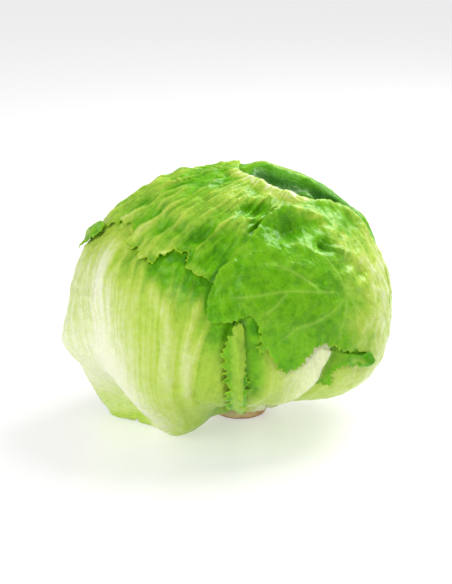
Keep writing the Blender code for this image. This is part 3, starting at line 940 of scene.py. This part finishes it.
def make_sheet(leaf):
    """The closed shell of one leaf, as points, faces and what its surface carries."""
    places, triangles, loop = sheet_plan(leaf)
    units = off_map(leaf.middle, places)
    found = lie(units, leaf)
    outer = units * (head_radius(units) + swelling(units) + found.height)[:, None]
    outer[:, 2] += CENTRE_Z
    outer[:, 2] = np.maximum(outer[:, 2], GROUND_CLEARANCE)
    normals = corner_normals(outer, triangles)
    inner_edge = np.maximum(-found.outside, 0.0)
    close = np.flatnonzero(found.outside > -NEAR_MARGIN)
    inner_edge[close] = distance_to_line(places[close], loop, closed=True)[0]
    fleshy = FLESHY * np.exp(-((fan(units, leaf.stalk)[0] / FLESHY_REACH) ** 2))
    thickening = leaf.thickness - EDGE_THICKNESS + fleshy
    wall = EDGE_THICKNESS + thickening * smooth_step(inner_edge, 0.0, EDGE_TAPER)
    inner = outer - normals * wall[:, None]
    count = len(outer)
    faces = triangles.tolist()
    faces += (triangles[:, ::-1] + count).tolist()
    faces += [(end, start, start + count, end + count) for start, end in open_edges(triangles).tolist()]
    free = 0.25 + 0.75 * smooth_step(found.room, 0.0, 1.5)
    distance, bearing = fan(units, leaf.root)
    longitude, latitude = lon_lat(units)
    ribbed = 0.15 + 0.85 * smooth_step(longitude, *leaf.ribbed_from)
    ribbed *= 0.3 + 0.7 * smooth_step(latitude, -40.0, 10.0)
    wish = leaf.wish(units, found.outside, found.frill)
    carried = {
        # pale carries the leaf's tone plus, through crest, painted light on its crests and painted shade in
        # its hollows.
        "pale": leaf.tone(units, inner_edge) + leaf.crest * np.clip(wish, -4.0, 4.0),
        "inner_edge": inner_edge * MM,
        "rib_share": leaf.ribs * free * ribbed,
        "net_share": leaf.net * free,
        "free": free,
        "frilly": found.frill * leaf.frill,
        "vein": leaf.veins(units),
        "fan": np.stack([bearing, distance * MM, np.zeros(count)], -1),
        "lift": normals,
    }
    carried = {name: np.concatenate([values, values]) for name, values in carried.items()}
    return np.vstack([outer, inner]) * MM, faces, carried


class Nodes:
    """Short calls that add nodes to a tree and link them."""

    def __init__(self, tree):
        self.tree = tree

    def add(self, kind, inputs=None, **settings):
        """A new node with its settings made and its inputs set or linked."""
        node = self.tree.nodes.new(kind)
        for name, value in settings.items():
            setattr(node, name, value)
        self.feed_all(node, inputs or {})
        return node

    def feed_all(self, node, inputs):
        """Sets or links inputs of a node, by their names or numbers."""
        for name, value in inputs.items():
            self.feed(node.inputs[name], value)

    def feed(self, socket, value):
        """Links another node's output to the socket, or sets the socket's own value."""
        if isinstance(value, bpy.types.NodeSocket):
            self.tree.links.new(value, socket)
        else:
            socket.default_value = value

    def math(self, operation, first, second=0.0, clamp=False):
        """One number worked out from two."""
        node = self.add("ShaderNodeMath", {0: first, 1: second}, operation=operation, use_clamp=clamp)
        return node.outputs[0]

    def product(self, *factors):
        """Some numbers multiplied with each other."""
        whole = factors[0]
        for factor in factors[1:]:
            whole = self.math("MULTIPLY", whole, factor)
        return whole

    def total(self, *terms):
        """The sum of some numbers, each times its weight."""
        parts = [self.product(*term) for term in terms]
        whole = parts[0]
        for part in parts[1:]:
            whole = self.math("ADD", whole, part)
        return whole

    def step(self, value, low, high, to_low=0.0, to_high=1.0):
        """A smooth rise from one value to another."""
        inputs = {"Value": value, "From Min": low, "From Max": high, "To Min": to_low, "To Max": to_high}
        return self.add("ShaderNodeMapRange", inputs, interpolation_type="SMOOTHSTEP").outputs["Result"]

    def noise(self, vector, scale, detail=2.0, roughness=0.5):
        """Noise between 0 and 1."""
        inputs = {"Vector": vector, "Scale": scale, "Detail": detail, "Roughness": roughness}
        return self.add("ShaderNodeTexNoise", inputs).outputs[0]

    def mix(self, share, first, second):
        """A colour between two others."""
        return self.add("ShaderNodeMix", {0: share, 6: first, 7: second}, data_type="RGBA").outputs[2]

    def scaled(self, vector, factors, offset=(0.0, 0.0, 0.0)):
        """A vector multiplied and moved along each axis."""
        inputs = {0: vector, 1: factors, 2: offset}
        return self.add("ShaderNodeVectorMath", inputs, operation="MULTIPLY_ADD").outputs[0]

    def net_lines(self, place, crowd, lines):
        """The stronger of two nets: how much finer each is, and how wide and strong its lines are."""
        drift = self.add("ShaderNodeTexNoise", {"Vector": place, "Scale": 90.0, "Detail": 1.0}).outputs[1]
        bent = self.scaled(drift, (NET_WAVER, NET_WAVER, NET_WAVER), place)
        nets = []
        for finer, width, strength in lines:
            inputs = {"Vector": bent, "Scale": self.product(crowd, finer)}
            cells = self.add("ShaderNodeTexVoronoi", inputs, feature="DISTANCE_TO_EDGE")
            nets.append(self.step(cells.outputs["Distance"], 0.0, width, strength, 0.0))
        return self.math("MAXIMUM", *nets)


def relief_tree():
    """Geometry nodes that raise the ribs, the net of veins and the crinkles of a leaf."""
    tree = bpy.data.node_groups.new("leaf_relief", "GeometryNodeTree")
    sockets = tree.interface
    sockets.new_socket("geometry", in_out="INPUT", socket_type="NodeSocketGeometry")
    for name in ReliefSize.__annotations__:
        sockets.new_socket(name, in_out="INPUT", socket_type="NodeSocketFloat")
    sockets.new_socket("material", in_out="INPUT", socket_type="NodeSocketMaterial")
    sockets.new_socket("geometry", in_out="OUTPUT", socket_type="NodeSocketGeometry")
    nodes = Nodes(tree)
    given = nodes.add("NodeGroupInput").outputs

    def attribute(name, kind="FLOAT"):
        node = nodes.add("GeometryNodeInputNamedAttribute", {"Name": name}, data_type=kind)
        return node.outputs["Attribute"]

    spread = nodes.add("ShaderNodeSeparateXYZ", {0: attribute("fan", "FLOAT_VECTOR")}).outputs
    position = nodes.add("GeometryNodeInputPosition").outputs[0]
    sway = nodes.product(nodes.noise(position, SWAY_SCALE, 1.0), SWAY)
    across = nodes.product(nodes.math("ADD", spread[0], sway), given["rib_crowd"])
    along = nodes.product(spread[1], 14.0)
    rib_place = nodes.add("ShaderNodeCombineXYZ", {0: across, 1: along, 2: given["seed"]}).outputs[0]
    rib = nodes.step(nodes.noise(rib_place, 1.0, 2.5, 0.55), 0.3, 0.7, -1.0, 1.0)
    crowd = nodes.math("DIVIDE", 1.0, given["net_cell"])
    net = nodes.net_lines(position, crowd, ((1.0, 0.16, 1.0), (NET_FINER, 0.14, 0.5)))
    size = nodes.math("DIVIDE", 1.0, given["crinkle_size"])
    crinkle = nodes.step(nodes.noise(position, size), 0.25, 0.75, -1.0, 1.0)
    rib_lift = nodes.product(rib, attribute("rib_share"))
    net_lift = nodes.product(net, attribute("net_share"))
    crinkle_height = nodes.product(attribute("free"), given["crinkle_height"])
    raised = nodes.total(
        (rib_lift, given["rib_height"]), (net_lift, given["net_height"]), (crinkle, crinkle_height)
    )
    inputs = {"Geometry": given["geometry"], "Name": "rib", "Value": rib_lift}
    kept = nodes.add("GeometryNodeStoreNamedAttribute", inputs, data_type="FLOAT", domain="POINT")
    lift = attribute("lift", "FLOAT_VECTOR")
    offset = nodes.add("ShaderNodeVectorMath", {0: lift, "Scale": raised}, operation="SCALE").outputs[0]
    inputs = {"Geometry": kept.outputs[0], "Offset": offset}
    moved = nodes.add("GeometryNodeSetPosition", inputs).outputs[0]
    real = nodes.add("GeometryNodeRealizeInstances", {"Geometry": moved}).outputs[0]
    inputs = {"Geometry": real, "Material": given["material"]}
    done = nodes.add("GeometryNodeSetMaterial", inputs).outputs[0]
    nodes.add("NodeGroupOutput", {"geometry": done})
    return tree


def shade(red, green, blue):
    """A colour as a screen shows it, from 0 to 255, as the light that it stands for."""
    light = []
    for value in (red, green, blue):
        value = value / 255.0
        light.append(value / 12.92 if value <= 0.04045 else ((value + 0.055) / 1.055) ** 2.4)
    return (*light, 1.0)


def new_material(name):
    """A new material, with the nodes of its tree and its surface."""
    material = bpy.data.materials.new(name)
    material.use_nodes = True
    return material, Nodes(material.node_tree), material.node_tree.nodes["Principled BSDF"]


def leaf_material(name, look):
    """A waxy leaf: mottled green that pales along its ribs and towards its base, with painted shade where
    its paleness falls below zero and a painted glow along its thin frilly margins.
    """
    material, nodes, surface = new_material(name)

    def attribute(kind, output="Fac"):
        return nodes.add("ShaderNodeAttribute", attribute_name=kind).outputs[output]

    place = nodes.add("ShaderNodeTexCoord").outputs["Object"]
    inputs = {"Vector": place, "Scale": SWAY_SCALE, "Detail": 1.0}
    sway = nodes.add("ShaderNodeTexNoise", inputs).outputs[1]
    spread = nodes.scaled(sway, (SWAY, 0.0, 0.0), attribute("fan", "Vector"))
    wide = nodes.noise(nodes.scaled(spread, (36.0, 9.0, 1.0)), 1.0, 3.0, 0.6)
    thin = nodes.noise(nodes.scaled(spread, (130.0, 26.0, 1.0)), 1.0, 2.0, 0.6)
    streak = nodes.total((wide, 0.65), (thin, 0.35))
    coarse = nodes.noise(place, 60.0, 2.0, 0.6)
    fine = nodes.noise(place, 240.0, 3.0, 0.65)
    pale = attribute("pale")
    # Paleness below zero is painted shade: it darkens the random mottle and then turns to the shadow green.
    mottle_and_shade = nodes.math("ADD", nodes.total((coarse, 0.5), (fine, 0.5)), nodes.math("MINIMUM", pale, 0.0))
    green = nodes.mix(nodes.step(mottle_and_shade, 0.36, 0.6), look.deep, look.green)
    green = nodes.mix(nodes.step(pale, -0.8, -0.15, 0.9, 0.0), green, look.shadow)
    crowd = 1.0 / bpy.context.scene.lettuce_relief.net_cell
    lines = nodes.net_lines(place, crowd, ((1.0, 0.05, 1.0), (NET_FINER, 0.08, 0.65)))
    zone = nodes.step(pale, 0.02, 0.5, 0.2, 1.0)
    lifted = nodes.product(attribute("rib"), 0.16, zone)
    ribbed = nodes.math("ADD", attribute("rib_share"), 0.3)
    streaked = nodes.product(nodes.math("SUBTRACT", streak, 0.5), nodes.product(zone, 0.95), ribbed)
    flecked = nodes.product(nodes.math("SUBTRACT", fine, 0.5), nodes.product(zone, 0.3))
    share = nodes.math("ADD", pale, lifted)
    share = nodes.math("ADD", share, nodes.math("ADD", streaked, flecked), clamp=True)
    body = nodes.mix(nodes.step(share, 0.0, 0.45), green, look.pale)
    body = nodes.mix(nodes.step(share, 0.32, 0.95), body, look.white)
    netted = nodes.math("MULTIPLY", nodes.product(lines, attribute("net_share")), 0.2, clamp=True)
    body = nodes.mix(netted, body, look.vein)
    body = nodes.mix(nodes.math("MULTIPLY", attribute("vein"), 0.6, clamp=True), body, look.vein)
    # A painted glow of light through the thin frilly margins, in the rim colour.
    rim = nodes.step(attribute("inner_edge"), 0.0, 0.0009, 0.6, 0.0)
    rim = nodes.math("MULTIPLY", rim, attribute("frilly"), clamp=True)
    body = nodes.mix(rim, body, look.rim)
    grain = nodes.noise(place, 800.0, 2.0, 0.55)
    height = nodes.total((grain, 0.5), (fine, 1.6), (streak, 1.3), (lines, 0.25))
    relief = nodes.add("ShaderNodeBump", {"Height": height, "Strength": 0.5, "Distance": 0.0008})
    nodes.feed_all(surface, {
        "Base Color": body,
        "Roughness": nodes.step(coarse, 0.35, 0.62, look.roughness + 0.06, look.roughness - 0.16),
        "IOR": 1.42,
        "Specular IOR Level": 0.28,
        "Specular Tint": look.wax_tint,
        "Coat Weight": look.coat,
        "Coat Roughness": 0.16,
        "Subsurface Weight": look.glow,
        "Subsurface Radius": (0.7, 1.0, 0.15),
        "Subsurface Scale": 0.003,
        "Normal": relief.outputs[0],
    })
    return material


def stem_material(look):
    """Moist pale flesh that has browned at the cut and in patches, with a dark cut rim that is partly
    browning and partly painted contact shade.
    """
    material, nodes, surface = new_material("moist_cut_stem")
    place = nodes.add("ShaderNodeTexCoord").outputs["Object"]
    right, _, height = nodes.add("ShaderNodeSeparateXYZ", {0: place}).outputs
    low = nodes.step(height, 0.0004, 0.003, 0.7, 0.0)
    brown = nodes.math("ADD", low, nodes.step(right, 0.002, 0.013, 0.0, 0.6))
    patch = nodes.step(nodes.noise(place, 150.0, 3.0, 0.6), 0.46, 0.62)
    brown = nodes.math("ADD", brown, nodes.product(patch, 0.6))
    body = nodes.mix(nodes.math("MULTIPLY", brown, 0.75, clamp=True), look.flesh, look.browned)
    # The dark rim at the bottom is partly the browned cut and partly painted contact shade where the butt
    # meets the floor.
    rim = nodes.step(height, 0.0004, 0.0016, 1.0, 0.0)
    grain = nodes.noise(place, 500.0, 3.0, 0.6)
    relief = nodes.add("ShaderNodeBump", {"Height": grain, "Strength": 0.5, "Distance": 0.0006})
    nodes.feed_all(surface, {
        "Base Color": nodes.mix(rim, body, look.cut_rim_and_contact_shade),
        "Roughness": 0.55,
        "Subsurface Weight": 0.15,
        "Subsurface Radius": (0.9, 0.6, 0.3),
        "Subsurface Scale": 0.002,
        "Normal": relief.outputs[0],
    })
    return material


def colour(name, description, value):
    """A colour setting."""
    return FloatVectorProperty(
        name=name, description=description, subtype="COLOR", size=4, min=0.0, max=1.0, default=value
    )


def number(name, description, value, **limits):
    """A setting that is one number."""
    return FloatProperty(name=name, description=description, default=value, **limits)


class LeafFinish(bpy.types.PropertyGroup):
    """Colours and surface of the leaves, among them the painted shade of hollows and gaps and the painted
    glow along thin margins.
    """

    deep: colour("Deep green", "Green of the darker patches", shade(76, 152, 0))
    green: colour("Green", "Green of the leaf blade", shade(106, 182, 0))
    shadow: colour("Shadow green", "Green deep in the hollows and gaps", shade(18, 96, 8))
    pale: colour("Pale green", "Colour half way to the ribs", shade(184, 211, 78))
    white: colour("Rib white", "Colour of the thick ribs", shade(244, 249, 214))
    vein: colour("Vein", "Colour of the fine veins", shade(172, 214, 84))
    # The rim colour paints a glow of light through the thin frilly margins.
    rim: colour("Rim", "Colour of the thin frilly margins", shade(156, 204, 34))
    wax_tint: colour("Wax tint", "Tint of the light that the blade mirrors", (0.75, 1.0, 0.25, 1.0))
    roughness: number("Roughness", "How matt the wax is", 0.42, min=0.0, max=1.0)
    coat: number("Wax", "Strength of the glossy wax layer", 0.22, min=0.0, max=1.0)
    glow: number("Glow", "How much light spreads inside the leaf", 0.25, min=0.0, max=1.0)


class StemFinish(bpy.types.PropertyGroup):
    """Colours of the cut stem."""

    flesh: colour("Flesh", "Colour of the fresh stem", shade(226, 204, 158))
    browned: colour("Browned", "Colour of the browned patches", shade(196, 142, 84))
    # Partly the browned cut and partly painted contact shade where the butt meets the floor.
    cut_rim_and_contact_shade: colour("Cut rim", "Colour of the rim of the cut", shade(132, 84, 44))


class ReliefSize(bpy.types.PropertyGroup):
    """Sizes of the ribs, veins and crinkles."""

    rib_height: number("Rib height", "Height of the ribs", 0.00045, unit="LENGTH")
    rib_crowd: number("Rib crowd", "Number of ribs to each radian around the leaf's root", 26.0)
    net_height: number("Net height", "Height of the fine veins", 0.00025, unit="LENGTH")
    net_cell: number("Net cell", "Width of the cells between fine veins", 0.0075, unit="LENGTH")
    crinkle_height: number("Crinkle height", "Height of the crinkles", 0.0005, unit="LENGTH")
    crinkle_size: number("Crinkle size", "Width of the crinkles", 0.009, unit="LENGTH")
    seed: IntProperty(name="Seed", description="Which of the random patterns is used", default=3)


class StageLook(bpy.types.PropertyGroup):
    """The floor and the lights."""

    floor: colour("Floor", "Colour of the floor", (0.56, 0.56, 0.56, 1.0))
    floor_glow: number("Floor glow", "Light that the lit table gives off", 0.46)
    sky: number("Sky", "Strength of the even white light", 0.5)
    key_power: number("Key light", "Power of the large light at the upper right", 13.0, unit="POWER")
    fill_power: number("Fill light", "Power of the large light at the front left", 8.0, unit="POWER")


def add_object(name, data):
    """A new object in the scene with this mesh, light or camera."""
    piece = bpy.data.objects.new(name, data)
    bpy.context.scene.collection.objects.link(piece)
    return piece


def store(mesh, name, values):
    """Keeps one number or one vector for each point of a mesh, for the nodes to read."""
    if values.ndim == 1:
        mesh.attributes.new(name, "FLOAT", "POINT").data.foreach_set("value", values)
    else:
        mesh.attributes.new(name, "FLOAT_VECTOR", "POINT").data.foreach_set("vector", values.ravel())


def piece_object(name, sheets, material):
    """One object from one or more sheets, with the relief raised on it."""
    points, faces = [], []
    for sheet_points, sheet_faces, _ in sheets:
        start = sum(map(len, points))
        points.append(sheet_points)
        faces += [tuple(index + start for index in face) for face in sheet_faces]
    mesh = bpy.data.meshes.new(name)
    mesh.from_pydata(np.vstack(points).tolist(), [], faces)
    for key in sheets[0][2]:
        store(mesh, key, np.concatenate([carried[key] for _, _, carried in sheets]))
    mesh.update()
    rough_piece = add_object(name + "_plain", mesh)
    size = bpy.context.scene.lettuce_relief
    tree = bpy.data.node_groups.get("leaf_relief") or relief_tree()
    relief = rough_piece.modifiers.new("relief", "NODES")
    relief.node_group = tree
    values = {key: float(getattr(size, key)) for key in ReliefSize.__annotations__}
    values["material"] = material
    for item in tree.interface.items_tree:
        if item.in_out == "INPUT" and item.name in values:
            relief[item.identifier] = values[item.name]
    rough_piece.update_tag()
    bpy.context.view_layer.update()
    graph = bpy.context.evaluated_depsgraph_get()
    finished = bpy.data.meshes.new_from_object(rough_piece.evaluated_get(graph))
    finished.name = name
    bpy.data.objects.remove(rough_piece)
    finished.shade_smooth()
    return add_object(name, finished)


def slot_material(slot):
    """The material of a slot, made when it is first asked for."""
    name = "waxy_" + slot
    return bpy.data.materials.get(name) or leaf_material(name, bpy.context.scene.lettuce_leaf)


# Half the outline of the stem, from the middle of the cut up to its top: radius and height.
STEM_PROFILE = (
    (0.0, 0.0), (9.0, 0.05), (13.2, 0.0), (14.4, 0.5), (15.0, 1.8), (14.9, 3.6), (14.6, 6.0),
    (12.0, 14.0), (8.4, 29.0), (0.0, CORE_TOP_Z),
)
STEM_STEP = 0.7
STEM_STEPS_AROUND = 96


def add_stem(look):
    """The cut butt, with a browned rim that also carries painted contact shade, and the core between the
    leaf bases.
    """
    steps = STEM_STEPS_AROUND
    rows = resampled(STEM_PROFILE, STEM_STEP)
    points, faces = [], []
    for across, up in rows:
        for step in range(steps):
            turn = 2.0 * math.pi * step / steps
            points.append((across * math.sin(turn), -across * math.cos(turn), up))
    points = np.array(points)
    units = points / np.maximum(np.linalg.norm(points, axis=1), 1e-6)[:, None]
    uneven = 0.35 * noise(points / 4.0, 131) + 0.2 * noise(points / 1.5, 132)
    side = smooth_step(np.hypot(points[:, 0], points[:, 1]), 11.0, 14.0)
    points[:, :2] += units[:, :2] * (uneven * side)[:, None]
    for start in range(0, steps * (len(rows) - 1), steps):
        for step in range(steps):
            corners = (start + step, start + (step + 1) % steps)
            faces.append((*corners, corners[1] + steps, corners[0] + steps))
    mesh = bpy.data.meshes.new("cut_stem")
    mesh.from_pydata((points * MM).tolist(), [], faces)
    weld = bmesh.new()
    weld.from_mesh(mesh)
    bmesh.ops.remove_doubles(weld, verts=weld.verts, dist=0.02 * MM)
    bmesh.ops.recalc_face_normals(weld, faces=weld.faces)
    weld.to_mesh(mesh)
    weld.free()
    mesh.shade_smooth()
    mesh.materials.append(stem_material(look))
    piece = add_object("cut_stem", mesh)
    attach(piece, "root")
    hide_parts("stem")


def add_heart(material):
    """The tight youngest leaves in the middle, as one crinkled ball."""
    mesh = bpy.data.meshes.new("heart_ball")
    ball = bmesh.new()
    bmesh.ops.create_icosphere(ball, subdivisions=5, radius=1.0)
    units = np.array([tuple(vertex.co.normalized()) for vertex in ball.verts])
    lowest = CENTRE_Z - CORE_TOP_Z - HEART_ROOM
    radius = head_radius(units) - HEART_DEPTH
    down = np.maximum(-units[:, 2], 1e-3)
    radius = np.minimum(radius, lowest / down) + 0.8 * rough(units, 9.0, 141) - 1.2
    for vertex, unit, length in zip(ball.verts, units, radius):
        vertex.co = Vector((unit * length + (0.0, 0.0, CENTRE_Z)) * MM)
    ball.to_mesh(mesh)
    ball.free()
    count = len(units)
    carried = {"pale": 0.7, "rib": 0.0, "net_share": 0.0, "inner_edge": 0.02, "frilly": 0.0, "vein": 0.0}
    for name, value in carried.items():
        store(mesh, name, np.full(count, value))
    bearing, rise = lon_lat(units)
    store(mesh, "fan", np.stack([np.radians(bearing), np.radians(rise) * 0.08, np.zeros(count)], -1))
    mesh.shade_smooth()
    mesh.materials.append(material)
    piece = add_object("heart_ball", mesh)
    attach(piece, "root")
    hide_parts("heart")


def add_leaf(node, slot):
    """Builds the leaf that stands for one node of the frame."""
    sheets = [make_sheet(leaf) for leaf in LEAVES if leaf.node == node]
    if not sheets:
        raise RuntimeError(f"no leaf is planned for {node}")
    piece = piece_object(node + "_blade", sheets, slot_material(slot))
    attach(piece, "root")
    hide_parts(node)


def add_floor(look):
    """A wide pale floor with a faint soft reflection."""
    half = 0.5 * FLOOR_SIZE
    corners = [(-half, -half, 0.0), (half, -half, 0.0), (half, half, 0.0), (-half, half, 0.0)]
    mesh = bpy.data.meshes.new("floor")
    mesh.from_pydata(corners, [], [(0, 1, 2, 3)])
    material, nodes, surface = new_material("pale_floor")
    nodes.feed_all(surface, {
        "Base Color": look.floor,
        "Roughness": 0.25,
        "Specular IOR Level": 0.4,
        "Emission Color": WHITE,
        "Emission Strength": look.floor_glow,
    })
    mesh.materials.append(material)
    floor = add_object("floor", mesh)


def add_area_light(name, place, size, power):
    """A square soft light aimed at the head."""
    data = bpy.data.lights.new(name, "AREA")
    data.size = size
    data.energy = power
    lamp = add_object(name, data)
    lamp.location = place
    aim = Vector(LIGHT_TARGET) - Vector(place)
    lamp.rotation_euler = aim.to_track_quat("-Z", "Y").to_euler()


def add_lights(look):
    """Even white light, a large light at the upper right and a weaker one at the front left."""
    world = bpy.data.worlds.new("white_room")
    world.use_nodes = True
    background = world.node_tree.nodes["Background"]
    background.inputs["Color"].default_value = WHITE
    background.inputs["Strength"].default_value = look.sky
    bpy.context.scene.world = world
    add_area_light("key_light", KEY_PLACE, KEY_SIZE, look.key_power)
    add_area_light("fill_light", FILL_PLACE, FILL_SIZE, look.fill_power)
    bpy.context.scene.view_settings.view_transform = "Standard"


def add_camera():
    """The camera at the photograph's height and distance."""
    data = bpy.data.cameras.new("camera")
    data.lens = VIEW_LENS
    data.sensor_width = VIEW_SENSOR
    camera = add_object("camera", data)
    elevation = math.radians(VIEW_ELEVATION)
    back = Vector((0.0, -math.cos(elevation), math.sin(elevation)))
    camera.location = (Vector(VIEW_TARGET) + back * VIEW_DISTANCE) * MM
    camera.rotation_euler = (-back).to_track_quat("-Z", "Y").to_euler()
    bpy.context.scene.camera = camera


class LETTUCE_OT_wrapper_leaves(bpy.types.Operator):
    """Adds the outer leaves that wrap the head"""

    bl_idname = "lettuce.wrapper_leaves"
    bl_label = "Add wrapper leaves"

    def execute(self, context):
        add_leaf("right_wrapper", "green_leaf")
        for side in ("front", "left", "back_right", "back", "back_left"):
            add_leaf(f"{side}_wrapper", "pale_leaf")
        return {"FINISHED"}


class LETTUCE_OT_crown_leaves(bpy.types.Operator):
    """Adds the leaves that close over the top of the head"""

    bl_idname = "lettuce.crown_leaves"
    bl_label = "Add crown leaves"

    def execute(self, context):
        for node in ("crown_leaf", "crown_back_leaf"):
            add_leaf(node, "green_leaf")
        return {"FINISHED"}


class LETTUCE_OT_inside_leaves(bpy.types.Operator):
    """Adds the second whorl and the inner leaves"""

    bl_idname = "lettuce.inside_leaves"
    bl_label = "Add inside leaves"

    def execute(self, context):
        for side in ("front", "left", "back", "right"):
            add_leaf(f"second_{side}_leaf", "green_leaf")
        for number in range(1, len(INNER_LEAVES) + 1):
            add_leaf(f"inner_leaf_{number}", "inner_leaf")
        add_heart(slot_material("inner_leaf"))
        return {"FINISHED"}


class LETTUCE_OT_stem(bpy.types.Operator):
    """Adds the stem with its cut butt"""

    bl_idname = "lettuce.stem"
    bl_label = "Add stem"

    def execute(self, context):
        add_stem(context.scene.lettuce_stem)
        return {"FINISHED"}


class LETTUCE_OT_stage(bpy.types.Operator):
    """Adds the floor, the lights and the camera"""

    bl_idname = "lettuce.stage"
    bl_label = "Add stage"

    def execute(self, context):
        look = context.scene.lettuce_stage
        add_floor(look)
        add_lights(look)
        add_camera()
        return {"FINISHED"}


SETTINGS = {
    "lettuce_leaf": LeafFinish,
    "lettuce_stem": StemFinish,
    "lettuce_relief": ReliefSize,
    "lettuce_stage": StageLook,
}
OPERATORS = (
    LETTUCE_OT_wrapper_leaves,
    LETTUCE_OT_crown_leaves,
    LETTUCE_OT_inside_leaves,
    LETTUCE_OT_stem,
    LETTUCE_OT_stage,
)


class LETTUCE_PT_sidebar(bpy.types.Panel):
    """Lists the steps and their settings"""

    bl_label = "Lettuce"
    bl_idname = "LETTUCE_PT_sidebar"
    bl_space_type = "VIEW_3D"
    bl_region_type = "UI"
    bl_category = "Lettuce"

    def draw(self, context):
        layout = self.layout
        for operator in OPERATORS:
            layout.operator(operator.bl_idname)
        scene = context.scene
        for group in SETTINGS:
            settings = getattr(scene, group)
            box = layout.box()
            for name in settings.__annotations__:
                box.prop(settings, name)


def register():
    """Registers the settings, the operators and the panel."""
    for name, group in SETTINGS.items():
        bpy.utils.register_class(group)
        setattr(bpy.types.Scene, name, PointerProperty(type=group))
    for operator in OPERATORS:
        bpy.utils.register_class(operator)
    bpy.utils.register_class(LETTUCE_PT_sidebar)


def unregister():
    """Removes them again."""
    bpy.utils.unregister_class(LETTUCE_PT_sidebar)
    for operator in reversed(OPERATORS):
        bpy.utils.unregister_class(operator)
    for name, group in SETTINGS.items():
        delattr(bpy.types.Scene, name)
        bpy.utils.unregister_class(group)


def main():
    """Builds the whole scene."""
    register()
    bpy.ops.lettuce.wrapper_leaves()
    bpy.ops.lettuce.crown_leaves()
    bpy.ops.lettuce.inside_leaves()
    bpy.ops.lettuce.stem()
    bpy.ops.lettuce.stage()


if __name__ == "__main__":
    main()
